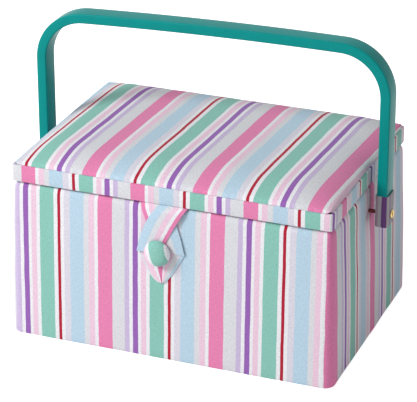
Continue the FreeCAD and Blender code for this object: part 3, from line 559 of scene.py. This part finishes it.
def folded_section(inner, outer, low, high, fold):
    """A strip's covering as (outwards, level): hemmed inside, over the top, down the front and under."""
    middle = (low + high) / 2
    rows = [(inner, middle + RIM_HEM)]
    corners = ((inner + fold, high - fold, 2), (outer - fold, high - fold, 1),
               (outer - fold, low + fold, 0), (inner + fold, low + fold, -1))
    for reach, level, quarter in corners:
        for step in range(FOLD_STEPS + 1):
            angle = math.pi / 2 * (quarter - step / FOLD_STEPS)
            rows.append((reach + fold * math.cos(angle), level + fold * math.sin(angle)))
    return rows + [(inner, middle - RIM_HEM)]


def make_rim_band():
    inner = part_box("lid_right_rim")[0].x - RIM_LAP
    half_wide, half_deep = lid_high.x - RIM_CORNER, lid_high.y - RIM_CORNER
    long_steps = spaced(-half_wide, half_wide, WALL_GRID)
    short_steps = spaced(-half_deep, half_deep, WALL_GRID)
    posts = stations(half_wide, half_deep, long_steps, short_steps, RIM_FACETS)
    used = measured(posts, RIM_CORNER, RIM_GIVE)
    rows = folded_section(inner - lid_high.x, 0, lid_low.z, lid_high.z, RIM_FOLD)

    def place(column, row):
        spot, out = posts[column]
        reach, level = rows[row]
        at = spot + out * (RIM_CORNER + reach)
        at.z = level
        at += out * RIM_UNEVEN * noise.noise(at * RIM_PITCH)
        along = (RIM_GREEN + half_wide - used[column]) * REPEAT / RIM_REPEAT
        return at, (along, level)

    return finished("lid_rim_cotton", woven(len(posts) - 1, len(rows) - 1, place), COTTON, creased=50)


rim = make_rim_band()
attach(rim, "lid")
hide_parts("lid_rim_band")


# Padded crown of the lid: striped cotton drawn over a foam pad and down into the groove inside the rim.
# It climbs from the groove on a full shoulder to a nearly flat middle, and its stripes run front to back.
CROWN_SHOULDER = 0.038
SHOULDER_FULL = 2.2
SHOULDER_SOFT = 0.75
CROWN_DIVE = 0.0016
CROWN_NIP = 0.0014
CROWN_LIFT = 0.0001
CROWN_CORNER = 0.0035
CROWN_TUCK = 0.0015
CROWN_REPEAT = 0.0899
CROWN_GREEN = -0.0076
CROWN_SKEW = 0.04
CROWN_GIVE = 0.5
CROWN_COLUMNS = 96
CROWN_ROWS = 68
CROWN_CROWDING = 1.35
CROWN_PITCH = 30
CLIMB_STEPS = 16
PUCKER = 0.00035
PUCKER_REACH = 0.012
PUCKER_PITCH = 70


def shoulder(inside):
    """The slope up from the groove: 0 at the edge, 1 from the end of the shoulder on."""
    share = min(inside / CROWN_SHOULDER, 1)
    return (1 - (1 - share) ** SHOULDER_FULL) ** SHOULDER_SOFT


def crowded(share):
    """Crossings crowd towards the edges, where the shoulder bends most."""
    return math.copysign(1 - (1 - abs(share)) ** CROWN_CROWDING, share)


def closed(mesh, below=math.inf):
    """A mesh whose openings are filled in, or only those that lie below a level."""
    border = [edge for edge in mesh.edges if edge.is_boundary and edge.verts[0].co.z < below]
    bmesh.ops.holes_fill(mesh, edges=border, sides=0)
    bmesh.ops.recalc_face_normals(mesh, faces=mesh.faces)
    return mesh


def make_crown():
    half_wide, half_deep = lid_high.x - CROWN_TUCK, lid_high.y - CROWN_TUCK
    foot = lid_high.z + CROWN_LIFT
    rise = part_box("lid_cover")[1].z - foot - CROWN_DIVE

    def climbed(inside):
        """How much longer the cloth is than the lid's width, from the end of the shoulder out to a spot."""
        run = CROWN_SHOULDER - inside
        spots = [inside + run * step / CLIMB_STEPS for step in range(CLIMB_STEPS + 1)]
        length = 0
        for spot, ahead in zip(spots, spots[1:]):
            length += math.hypot(ahead - spot, rise * (shoulder(ahead) - shoulder(spot)))
        return length - run

    def place(column, row):
        across, deep = crowded(column / CROWN_COLUMNS * 2 - 1), crowded(row / CROWN_ROWS * 2 - 1)
        at = Vector((across * half_wide, deep * half_deep, 0))
        beyond = Vector((abs(at.x) - half_wide + CROWN_CORNER, abs(at.y) - half_deep + CROWN_CORNER))
        if beyond.x > 0 and beyond.y > 0:
            pull = max(beyond.x, beyond.y) / beyond.length
            at.x = math.copysign(half_wide - CROWN_CORNER + beyond.x * pull, at.x)
            at.y = math.copysign(half_deep - CROWN_CORNER + beyond.y * pull, at.y)
        inside_x, inside_y = max(half_wide - abs(at.x), 0), max(half_deep - abs(at.y), 0)
        lift = shoulder(inside_x) * shoulder(inside_y)
        edge = min(inside_x, inside_y)
        ruck = noise.noise(Vector((at.x * PUCKER_PITCH, at.y * PUCKER_PITCH, 3)))
        ruck *= PUCKER * math.exp(-edge / PUCKER_REACH)
        nip = min(edge / CROWN_NIP, 1)
        dive = CROWN_DIVE * math.sqrt(1 - (1 - nip) ** 2)
        swell = UNEVEN * noise.noise(at * CROWN_PITCH) * lift
        at.z = foot + dive + rise * lift + ruck * nip + swell
        # The cloth runs a little longer than the lid is wide, because it climbs the slopes at both ends
        climb = math.copysign(CROWN_GIVE * climbed(min(inside_x, CROWN_SHOULDER)), at.x)
        along = (CROWN_GREEN + CROWN_SKEW * at.y - at.x - climb) * REPEAT / CROWN_REPEAT
        return at, (along, at.y)

    mesh = closed(woven(CROWN_COLUMNS, CROWN_ROWS, place))
    return finished("lid_crown_cotton", mesh, COTTON, creased=60)


crown = make_crown()
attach(crown, "lid")
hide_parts("lid_cover", "lid_pad")


# Lining of the lid: a card panel covered in plain cotton, with a wide pocket of the same cotton on it.
# The panel is glued under the lid's board; the pocket is sewn down at its back and ends, its mouth gathered.
eased("lid_lining", "lid", LINING, LINING_EASE)
GATHER = 0.0075
GATHER_DEPTH = 0.0011
GATHER_PITCH = 40
GATHER_SEAM = 0.006
GATHER_COLUMNS = 150
GATHER_FADE = 1.5
POCKET_ROWS = 14
POCKET_HOLD = 0.0002
POCKET_SEAM = 0.012
POCKET_FULL_SHARE = 0.9


def spot_between(low, high, across, deep):
    """A spot at shares of a box's width and depth."""
    return Vector((low.x + (high.x - low.x) * across, low.y + (high.y - low.y) * deep, 0))


def make_pocket():
    low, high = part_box("lid_pocket")
    swell = (high.z - low.z - GATHER_DEPTH) * POCKET_FULL_SHARE
    held = high.z - POCKET_HOLD

    def place(column, row):
        across, deep = column / GATHER_COLUMNS, row / POCKET_ROWS
        at = spot_between(low, high, across, deep)
        ends = min(across, 1 - across) * (high.x - low.x)
        sewn = min(ends / POCKET_SEAM, 1) * math.sqrt(1 - deep ** 2)
        wander = 2 * noise.noise(Vector((at.x * GATHER_PITCH, 0, 0)))
        ripple = math.sin(math.tau * at.x / GATHER + wander) * (1 - deep) ** GATHER_FADE
        fold = GATHER_DEPTH * ripple * min(ends / GATHER_SEAM, 1)
        at.z = min(held - swell * sewn + fold, held)
        return at, (at.x, at.y)

    return finished("lid_pocket_cotton", woven(GATHER_COLUMNS, POCKET_ROWS, place), LINING)


pocket = make_pocket()
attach(pocket, "lid")
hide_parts("lid_pocket")


# Pocket elastic: a band of woven ribbon elastic along the pocket's mouth.
# It is sewn to the cotton while stretched, and draws it into small even gathers.
ELASTIC_SWELL = 0.0006
ELASTIC_THICK = 0.0008
ELASTIC_ROWS = 6
RIB_DEPTH = 0.00015


def woven_ribbon():
    finish = Finish("woven_ribbon", {"Sheen Weight": 0.3, "Specular IOR Level": 0.35})
    spot = finish.object_spot()
    rib_sockets = {"Vector": spot, "Scale": 300, "Distortion": 0.4}
    rib = finish.node("ShaderNodeTexWave", {"bands_direction": "X"}, rib_sockets)
    fleck = finish.noise(spot, 1500)
    shade = rib * 0.5 + fleck * 0.5
    finish.feed("Base Color", finish.mix(shade, screen(198, 168, 192), screen(236, 214, 230)))
    finish.feed("Roughness", fleck * 0.2 + 0.5)
    finish.bump(rib, RIB_DEPTH, 0.5)
    return finish.material


RIBBON = woven_ribbon()


def thickened(mesh, thickness):
    """A sheet of cloth given its thickness."""
    bmesh.ops.solidify(mesh, geom=mesh.faces[:], thickness=thickness)
    bmesh.ops.recalc_face_normals(mesh, faces=mesh.faces)
    return mesh


def make_elastic():
    low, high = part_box("pocket_elastic")
    middle = (low.z + high.z) / 2

    def place(column, row):
        deep = row / ELASTIC_ROWS
        at = spot_between(low, high, column / GATHER_COLUMNS, deep)
        hollow = (2 * deep - 1) ** 2
        at.z = middle + ELASTIC_SWELL * (hollow - 2 + math.sin(math.tau * at.x / GATHER))
        return at, (at.x, at.y)

    mesh = thickened(woven(GATHER_COLUMNS, ELASTIC_ROWS, place), ELASTIC_THICK)
    return finished("pocket_elastic_ribbon", mesh, RIBBON, creased=60)


elastic = make_elastic()
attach(elastic, "lid")
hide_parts("pocket_elastic")


# Pin cushion: a small pad of plain pink cotton, stuffed tight.
# It is sewn flat to the lid's lining, between the pocket and the front rim.
CUSHION_CUTS = 13
CUSHION_SIDE_SHARE = 0.3
CUSHION_DOME_SHARE = 0.55
CUSHION_SPREAD_SHARE = 0.47
CUSHION_CORNER_SHARE = 0.05
CUSHION_SEAM = 0.0005
STUFFING = 4.0
STUFF_FRAMES = 20
STUFF_STIFFNESS = 40
CUSHION = plain_cotton("cushion_cotton", screen(226, 104, 158), screen(196, 70, 128))


def make_pin_cushion():
    """A closed box of cloth, domed below and flat where it is sewn to the lining."""
    low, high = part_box("pin_cushion")
    size, middle = high - low, (low + high) / 2
    mesh = bmesh.new()
    bmesh.ops.create_cube(mesh, size=1)
    bmesh.ops.subdivide_edges(mesh, edges=mesh.edges[:], cuts=CUSHION_CUTS, use_grid_fill=True)
    for vert in mesh.verts:
        across, deep = 2 * vert.co.x, 2 * vert.co.y
        dome = CUSHION_SIDE_SHARE + CUSHION_DOME_SHARE * math.sqrt((1 - across ** 4) * (1 - deep ** 4))
        spread = CUSHION_SPREAD_SHARE * (1 - CUSHION_CORNER_SHARE * (across * deep) ** 2)
        height = (0.5 - vert.co.z) * dome
        vert.co = middle + Vector((across * size.x * spread, deep * size.y * spread, size.z * (0.5 - height)))
    return finished("pin_cushion_cotton", mesh, CUSHION)


def stuffed(piece):
    """Cloth with air pressure inside it, held where it is sewn to the lining, and kept as a plain mesh."""
    low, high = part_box("pin_cushion")
    sewn = piece.vertex_groups.new(name="sewn")
    base = [vert.index for vert in piece.data.vertices if vert.co.z > high.z - CUSHION_SEAM]
    sewn.add(base, 1.0, "REPLACE")
    cloth = piece.modifiers.new("stuffing", "CLOTH")
    cloth.settings.use_pressure = True
    cloth.settings.uniform_pressure_force = STUFFING
    cloth.settings.vertex_group_mass = "sewn"
    cloth.settings.effector_weights.gravity = 0
    cloth.settings.tension_stiffness = STUFF_STIFFNESS
    cloth.settings.compression_stiffness = STUFF_STIFFNESS
    cloth.point_cache.frame_start = 1
    cloth.point_cache.frame_end = STUFF_FRAMES
    for number in range(1, STUFF_FRAMES + 1):
        bpy.context.scene.frame_set(number)
    puffed = bpy.data.meshes.new_from_object(piece.evaluated_get(bpy.context.evaluated_depsgraph_get()))
    piece.modifiers.remove(cloth)
    for vert in puffed.vertices:
        for axis in range(3):
            vert.co[axis] = min(max(vert.co[axis], low[axis]), high[axis])
    piece.data = puffed
    bpy.context.scene.frame_set(1)
    smooth = piece.modifiers.new("smooth", "SUBSURF")
    smooth.levels = smooth.render_levels = 1


cushion = make_pin_cushion()
stuffed(cushion)
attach(cushion, "lid")
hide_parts("pin_cushion")


# Cloth hinge: one strip of the striped cotton across the back.
# It is glued to the wall covering and to the lid's rim, and folds along the gap between them.
HINGE_THICK = 0.0005
HINGE_OFF = 0.00025
HINGE_COLUMNS = 60
HINGE_GRID = 0.003
FOLD_GRID = 0.0006
FOLD_REACH = 0.005


def make_hinge():
    low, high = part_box("hinge_cloth")
    levels = spaced(low.z, high.z, HINGE_GRID, FOLD_GRID, lid_low.z, FOLD_REACH)
    start = 2 * board.x + 2 * board.y + FRONT_START

    def place(column, row):
        level = levels[row]
        share = min(max((level - roll_level) / (lid_low.z - roll_level), 0), 1)
        wall = board.y + wall_out(min(level, roll_level))
        across = high.x + (low.x - high.x) * column / HINGE_COLUMNS
        at = Vector((across, wall * (1 - share) + lid_high.y * share, level))
        at.y += pushed_back(at) + HINGE_OFF + UNEVEN
        return at, (start + board.x - across, level)

    mesh = thickened(woven(HINGE_COLUMNS, len(levels) - 1, place), -HINGE_THICK)
    return finished("hinge_cotton", mesh, COTTON, creased=60)


hinge = make_hinge()
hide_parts("hinge_cloth")
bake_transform(hinge)


# Ribbon stays: a short woven ribbon inside each end, sewn to the end lining and to the lid's lining.
# They come taut when the lid has opened a little past upright.
STAY_COLUMNS = 6
STAY_ROWS = 24
STAY_BOW = 0.0002
STAY_THICK = 0.0003


def make_stay(node):
    low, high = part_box(node)

    def place(column, row):
        up = row / STAY_ROWS
        at = spot_between(low, high, 0.5, column / STAY_COLUMNS)
        at.x += STAY_BOW * math.sin(math.pi * up)
        at.z = low.z + (high.z - low.z) * up
        return at, (at.y, at.z)

    mesh = thickened(woven(STAY_COLUMNS, STAY_ROWS, place), STAY_THICK)
    return finished(f"{node}_ribbon", mesh, RIBBON, creased=60)


for end in ("left", "right"):
    stay = make_stay(f"{end}_lid_stay")
    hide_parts(f"{end}_lid_stay")
    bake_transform(stay)


# Fastening loop: a folded strip of the striped cotton, crossed over itself and turned to a point below.
# Its two ends are sewn under the lid's front rim; the button sits in the eye between its crossed halves.
STRAP_THICK = 0.0008
STRAP_SWELL = 0.0006
LOOP_SHARE = 0.325
LOOP_SPREAD_SHARE = 0.24
LOOP_TUCK = 0.0012
LOOP_COLUMNS = 12
LOOP_ROWS = 22
MILLIMETRE = 0.001
# Each part of the strip: its left edge and its right edge, as (X, level) in millimetres from the top down,
# how far it lies off the wall, and the places across the strip's width that its two edges show
LOOP_PARTS = (
    (((-24, 90.5), (-13.6, 70.5), (-4.4, 65.2)),
     ((-5, 99), (-4.6, 82), (-4, 65.0)), 0.6, (0.45, 1.08)),
    (((-5, 99), (-4.6, 82), (-4, 65.0)),
     ((14.1, 91.5), (3.2, 72.0), (-3.6, 65.2)), 0.6, (1.0, 0.22)),
    (((-22, 128.9), (-17.0, 114), (-6, 92)),
     ((0.5, 128.9), (7.4, 114.5), (14.2, 91.0)), 1.4, (1.0, 0.0)),
    (((-6.8, 128.9), (-17.6, 112.2), (-24.2, 89.6)),
     ((15.8, 128.9), (7.4, 115.2), (-5, 91)), 2.7, (0.0, 1.0)),
)


def through(points, share):
    """A smooth line through three points, at a share of its length."""
    first, middle, last = (Vector(point) * MILLIMETRE for point in points)
    weights = (2 * (share - 0.5) * (share - 1), -4 * share * (share - 1), 2 * share * (share - 0.5))
    return first * weights[0] + middle * weights[1] + last * weights[2]


def make_loop_part(left, right, lift, shares):
    def place(column, row):
        across, down = column / LOOP_COLUMNS, row / LOOP_ROWS
        flat = through(left, down).lerp(through(right, down), across)
        swell = STRAP_SWELL * (1 - (2 * across - 1) ** 2)
        near = max(0, (flat.y - roll_level) / (lid_low.z - roll_level))
        out = board.y + wall_out(min(flat.y, roll_level))
        out += (lift * MILLIMETRE + swell) * (1 - near ** 2) - LOOP_TUCK * near ** 3
        share = shares[0] + (shares[1] - shares[0]) * across
        return Vector((flat.x, -out, flat.y)), (REPEAT * (LOOP_SHARE + LOOP_SPREAD_SHARE * share), flat.y)

    return thickened(woven(LOOP_COLUMNS, LOOP_ROWS, place), STRAP_THICK)


def make_loop():
    strip = bmesh.new()
    strip.loops.layers.uv.new("cloth")
    for left, right, lift, shares in LOOP_PARTS:
        part = make_loop_part(left, right, lift, shares)
        data = bpy.data.meshes.new("loop_part")
        part.to_mesh(data)
        part.free()
        strip.from_mesh(data)
        bpy.data.meshes.remove(data)
    return finished("closure_loop_cotton", strip, COTTON, creased=50)


loop = make_loop()
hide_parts("closure_loop")
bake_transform(loop)


# Pivots: at each end a brass rivet goes through cuff, leg, spacer, padding and wall.
# Its low head has a hollow middle, coloured dark there as painted shade, and a flange holds it inside the
# wall.
# A slim tube on the pin keeps the cuff off the cloth; it is painted dark red-brown, the brass shank's colour
# in shade.
HEAD_RADIUS = 0.0031
HEAD_RIM_SHARE = 0.78
HEAD_SEAT_SHARE = 0.94
HEAD_SIDE_SHARE = 0.25
HOLLOW_SHARE = 0.92
HEAD_RISE = 0.0016
HEAD_HOLLOW = 0.0014
HEAD_STEPS = 7
FLANGE_THICK = 0.001
FLANGE_EASE = 0.0002
FLANGE_LEAD = 0.0003
RIVET_SHANK = 0.0012
SPACER_WALL = 0.0003
BORE_SHARE = 1.02
# The handle stands wider than its solid by this much at each side
SPLAY = 0.0016


def brass_with_painted_hollow_shade():
    finish = Finish("brass", {"Metallic": 1.0, "Specular IOR Level": 0.5})
    spot = finish.object_spot()
    tarnish = finish.noise(spot, 600, 4)
    gold = finish.mix(tarnish, screen(214, 178, 108), screen(242, 216, 158))
    across = finish.node("ShaderNodeSeparateXYZ", {}, {"Vector": spot}, "Y")
    above = finish.node("ShaderNodeSeparateXYZ", {}, {"Vector": spot}, "Z") - pin_level
    away = across * across + above * above
    # Painted shade: inside the head's rim the brass is coloured dark brown for the shade in its hollow.
    hollow = away.reckon("LESS_THAN", away, (HEAD_RADIUS * HEAD_RIM_SHARE) ** 2)
    finish.feed("Base Color", finish.mix(hollow, gold, screen(38, 26, 20)))
    finish.feed("Roughness", tarnish * 0.25 + 0.18)
    return finish.material


def shaded_shank_red():
    finish = Finish("shaded_shank_red", {"Roughness": 0.7})
    fleck = finish.noise(finish.object_spot(), 1200, 3)
    # Painted shade: dark red-brown, the colour of the brass shank in the shade between cuff and wall.
    finish.feed("Base Color", finish.mix(fleck, screen(96, 28, 36), screen(136, 56, 58)))
    return finish.material


BRASS = brass_with_painted_hollow_shade()
SHADED_SHANK = shaded_shank_red()


def outward(low, high, out):
    """A box's inner and outer faces, counted outwards from the middle of the box at either end."""
    return (low.x, high.x) if out > 0 else (-high.x, -low.x)


def make_rivet(end, out):
    low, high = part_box(f"{end}_pivot_rivet")
    inner = outward(low, high, out)[0]
    seat = outward(*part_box(f"{end}_cuff"), out)[1] + SPLAY
    top = seat + HEAD_RISE
    flange = (high.z - low.z) / 2
    back = inner + FLANGE_THICK
    outline = [(0, inner), (flange - FLANGE_EASE, inner), (flange, inner + FLANGE_LEAD),
               (flange, back - FLANGE_EASE), (flange - FLANGE_EASE, back), (RIVET_SHANK, back),
               (RIVET_SHANK, seat), (HEAD_RADIUS * HEAD_SEAT_SHARE, seat)]
    middle, half = HEAD_RADIUS * (1 + HEAD_RIM_SHARE) / 2, HEAD_RADIUS * (1 - HEAD_RIM_SHARE) / 2
    for step in range(HEAD_STEPS + 1):
        angle = math.pi * step / HEAD_STEPS
        up = HEAD_SIDE_SHARE + (1 - HEAD_SIDE_SHARE) * math.sin(angle)
        outline.append((middle + half * math.cos(angle), seat + HEAD_RISE * up))
    outline += [(HEAD_RADIUS * HEAD_RIM_SHARE * HOLLOW_SHARE, top - HEAD_HOLLOW), (0, top - HEAD_HOLLOW)]
    mesh = turned(outline, Vector((0, 0, pin_level)), Vector((out, 0, 0)), Vector((0, 0, 1)), steps=32)
    return finished(f"{end}_rivet_brass", mesh, BRASS, creased=40)


def make_spacer(end, out):
    inner, outer = outward(*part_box(f"{end}_pivot_washer"), out)
    inner, outer = inner - DIMPLE - CREASE, outer + SPLAY
    bore, skin = RIVET_SHANK * BORE_SHARE, RIVET_SHANK + SPACER_WALL
    outline = [(bore, inner), (skin, inner), (skin, outer), (bore, outer), (bore, inner)]
    mesh = turned(outline, Vector((0, 0, pin_level)), Vector((out, 0, 0)), Vector((0, 0, 1)), steps=24)
    return finished(f"{end}_spacer_shaded", mesh, SHADED_SHANK, creased=40)


for end, out in (("left", -1), ("right", 1)):
    rivet = make_rivet(end, out)
    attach(rivet, "pivots")
    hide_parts(f"{end}_pivot_rivet")
    spacer = make_spacer(end, out)
    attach(spacer, "pivots")
    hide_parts(f"{end}_pivot_washer")


# Handle: one moulded bail with crisp edges, straight legs, wide round corners and a slightly bowed bar.
# Satin teal plastic, coloured through, with the faint flow texture of a moulding.
HANDLE_THICK = 0.008
HANDLE_DEEPER = 0.002
HANDLE_EDGE = 0.0011
HANDLE_CORNER = 0.041
HANDLE_BOW = 0.0015
CORNER_STEPS = 22
BOW_STEPS = 14
MOULD_GRAIN = 0.00006
# The bar sits a little higher at its right end
HANDLE_LEAN = 0.022
HANDLE_LIFT = 0.0004


def teal_plastic():
    finish = Finish("teal_plastic", {"Specular IOR Level": 0.08})
    spot = finish.object_spot()
    flow = finish.noise(spot, 60, 3)
    grain = finish.noise(spot, 2200, 2)
    finish.feed("Base Color", finish.mix(flow, screen(0, 124, 121), screen(4, 138, 134)))
    finish.feed("Roughness", grain * 0.12 + flow * 0.1 + 0.22)
    finish.bump(grain, MOULD_GRAIN, 0.6)
    return finish.material


def make_bail():
    low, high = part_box("handle_bail")
    leg, bend = high.x - HANDLE_THICK / 2, HANDLE_CORNER - HANDLE_THICK / 2
    side = leg - bend
    bow = side ** 2 / (2 * HANDLE_BOW)
    hub = high.z - HANDLE_THICK / 2 - bow
    tilt = math.asin(side / (bow - bend))
    spring = hub + (bow - bend) * math.cos(tilt)
    mesh = bmesh.new()
    bmesh.ops.create_grid(mesh, x_segments=1, y_segments=1, size=0.5)
    bmesh.ops.scale(mesh, vec=(HANDLE_THICK, high.y - low.y + HANDLE_DEEPER, 1), verts=mesh.verts)
    bmesh.ops.translate(mesh, vec=(leg, 0, low.z), verts=mesh.verts)
    bmesh.ops.bevel(mesh, geom=mesh.verts[:], offset=HANDLE_EDGE, affect="VERTICES", segments=5,
                    profile=0.5, material=-1)
    bmesh.ops.delete(mesh, geom=mesh.faces[:], context="FACES_ONLY")
    grown = bmesh.ops.extrude_edge_only(mesh, edges=mesh.edges[:])["geom"]
    end = [part for part in grown if not isinstance(part, bmesh.types.BMFace)]
    tips = [part for part in end if isinstance(part, bmesh.types.BMVert)]
    bmesh.ops.translate(mesh, vec=(0, 0, spring - low.z), verts=tips)
    turns = (((side, 0, spring), math.pi / 2 - tilt, CORNER_STEPS), ((0, 0, hub), tilt, BOW_STEPS))
    for centre, angle, steps in turns:
        swept = bmesh.ops.spin(mesh, geom=end, cent=centre, axis=(0, -1, 0), angle=angle, steps=steps)
        end = swept["geom_last"]
    bmesh.ops.remove_doubles(mesh, verts=mesh.verts, dist=WELD)
    half = mesh.verts[:] + mesh.edges[:] + mesh.faces[:]
    bmesh.ops.mirror(mesh, geom=half, axis="X", merge_dist=WELD * 10)
    closed(mesh)
    for vert in mesh.verts:
        share = (vert.co.z - low.z) / (high.z - low.z)
        vert.co.z += (HANDLE_LIFT + HANDLE_LEAN * vert.co.x) * share
        vert.co.x *= 1 + SPLAY / leg
    return finished("handle_moulding", mesh, teal_plastic(), creased=40)


bail = make_bail()
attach(bail, "handle")
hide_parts("handle_bail")


# Cuffs: a sleeve of striped cotton, duller to look at than the walls, round the lower end of each leg.
# It is closed below, the rivet goes through it, and a dark line shows where the leg enters its folded top.
CUFF_CORNER = 0.0028
CUFF_FACETS = 6
CUFF_SLIM = 0.0002
CUFF_LIP = 0.0005
CUFF_TUCK = 0.003
CUFF_FLOOR_SHARE = 0.55
CUFF_START = 0.836
CUFF_COLUMN = 0.001
CUFF_GRID = 0.0012
CUFF_FIRST_ROW = 0.002
CUFF_UNEVEN = 0.00025
CUFF_PITCH = 140
# The cuffs' cotton is coloured darker all over than the walls' cotton.
DARKER_CUFF_COTTON = striped_cotton("darker_cuff_cotton", screen(150, 146, 148), screen(192, 186, 188))


def cuff_section(low, high, floor):
    """A cuff's section as (outwards, level): its floor, the eased foot, the side and the folded top."""
    lip = CUFF_LIP
    rows = [(-floor, low), (-lip * 2, low), (-lip * 0.6, low + lip * 0.3), (0, low + lip * 2)]
    for level in spaced(low + CUFF_FIRST_ROW, high - lip * 2, CUFF_GRID):
        rows.append((0, level))
    rows += [(-lip * 0.3, high - lip * 0.5), (-lip, high), (-lip * 2, high - lip * 0.5)]
    return rows + [(-lip * 2.2, high - CUFF_TUCK)]


def make_cuff(end, out):
    low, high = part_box(f"{end}_cuff")
    inner, outer = outward(low, high, out)
    inner, outer = inner + CUFF_SLIM + SPLAY, outer + SPLAY
    middle, half_x = (inner + outer) / 2, (outer - inner) / 2
    flat_x, flat_y = half_x - CUFF_CORNER, high.y - CUFF_CORNER
    wide_steps = spaced(-flat_x, flat_x, CUFF_COLUMN)
    deep_steps = spaced(-flat_y, flat_y, CUFF_GRID)
    posts = stations(flat_x, flat_y, wide_steps, deep_steps, CUFF_FACETS)
    used = measured(posts, CUFF_CORNER)
    rows = cuff_section(low.z, high.z, half_x * CUFF_FLOOR_SHARE)

    def place(column, row):
        spot, facing = posts[column]
        reach, level = rows[row]
        at = spot + facing * (CUFF_CORNER + reach)
        at.z = level
        at += facing * CUFF_UNEVEN * noise.noise(at * CUFF_PITCH)
        at.x = (at.x + middle) * out
        return at, (REPEAT * CUFF_START - used[column] + half_x * 2 - CUFF_CORNER, level)

    mesh = closed(woven(len(posts) - 1, len(rows) - 1, place), low.z + CUFF_LIP * 2)
    return finished(f"{end}_cuff_cotton", mesh, DARKER_CUFF_COTTON, creased=60)


for end, out in (("left", -1), ("right", 1)):
    cuff = make_cuff(end, out)
    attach(cuff, "handle")
    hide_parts(f"{end}_cuff")


# Lift-out tray: one moulding with a long front cell, four back cells and a finger notch in each end.
# White plastic with softened edges; it sits loose on the two ledges.
TRAY_EASE = 0.0005
TRAY_GRAIN = 0.00005


def white_plastic():
    finish = Finish("white_plastic", {"Specular IOR Level": 0.5})
    spot = finish.object_spot()
    haze = finish.noise(spot, 90, 3)
    finish.feed("Base Color", finish.mix(haze, screen(226, 226, 230), screen(240, 240, 242)))
    finish.feed("Roughness", haze * 0.15 + 0.28)
    finish.bump(finish.noise(spot, 1800), TRAY_GRAIN, 0.5)
    return finish.material


eased("tray", "tray", white_plastic(), TRAY_EASE)


# Stage: a white floor and world, a soft key lamp from the front left, and a camera at the photograph's place.
# The floor looks plain white to the camera, and keeps the shadow under the box.
PHOTO_WIDTH = 417
FOCAL_PIXELS = 2197
SENSOR = 36
CAMERA_PLACE = Vector((0.5678, -1.4693, 0.8129))
CAMERA_YAW = math.radians(-21.23)
CAMERA_PITCH = math.radians(24.53)
PLAIN_WHITE = (1, 1, 1, 1)
WORLD_LIGHT = 0.5
KEY_POWER = 38
KEY_PLACE = Vector((-1.2, -1.25, 1.35))
KEY_SIZE = 0.7
FLOOR_HALF = 3
FLOOR_GLOW = 0.7


def white_for_view(shading):
    """1 for rays that show the background itself or its reflection, 0 for rays that light the object."""
    seen = shading.node("ShaderNodeLightPath", {}, {}, "Is Camera Ray")
    for ray in ("Is Glossy Ray", "Is Transmission Ray"):
        seen = seen.reckon("MAXIMUM", seen, shading.node("ShaderNodeLightPath", {}, {}, ray))
    return seen


world = bpy.data.worlds.new("studio")
bpy.context.scene.world = world
world.use_nodes = True
world.node_tree.nodes.remove(world.node_tree.nodes["Background"])
sky = Shading(world.node_tree)
light = sky.node("ShaderNodeBackground", {}, {"Color": PLAIN_WHITE, "Strength": WORLD_LIGHT})
plain = sky.node("ShaderNodeBackground", {}, {"Color": PLAIN_WHITE, "Strength": 1})
shown = sky.node("ShaderNodeMixShader", {}, {0: white_for_view(sky), 1: light, 2: plain})
sky.join(sky.tree.nodes["World Output"].inputs["Surface"], shown)

ground = Finish("white_floor", {"Base Color": (0.9, 0.9, 0.9, 1), "Roughness": 1.0})
lit = Level(ground, ground.shader.outputs[0])
glow = ground.node("ShaderNodeEmission", {}, {"Color": PLAIN_WHITE, "Strength": FLOOR_GLOW})
both = ground.node("ShaderNodeAddShader", {}, {0: lit, 1: glow})
shown = ground.node("ShaderNodeMixShader", {}, {0: white_for_view(ground), 1: lit, 2: both})
ground.join(ground.tree.nodes["Material Output"].inputs["Surface"], shown)
plane = bmesh.new()
bmesh.ops.create_grid(plane, x_segments=1, y_segments=1, size=FLOOR_HALF)
floor = finished("floor", plane, ground.material)

key_data = bpy.data.lights.new("key", "AREA")
key_data.energy = KEY_POWER
key_data.size = KEY_SIZE
key = bpy.data.objects.new("key", key_data)
key.location = KEY_PLACE
key.rotation_euler = (-KEY_PLACE).to_track_quat("-Z", "Y").to_euler()
bpy.context.scene.collection.objects.link(key)

level_view = math.cos(CAMERA_PITCH)
forward = Vector((math.sin(CAMERA_YAW) * level_view, math.cos(CAMERA_YAW) * level_view,
                  -math.sin(CAMERA_PITCH)))
camera_data = bpy.data.cameras.new("camera")
camera_data.sensor_width = SENSOR
camera_data.lens = FOCAL_PIXELS / PHOTO_WIDTH * SENSOR
camera = bpy.data.objects.new("camera", camera_data)
camera.location = CAMERA_PLACE
camera.rotation_euler = forward.to_track_quat("-Z", "Y").to_euler()
bpy.context.scene.collection.objects.link(camera)
bpy.context.scene.camera = camera
bpy.context.scene.view_settings.view_transform = "Standard"
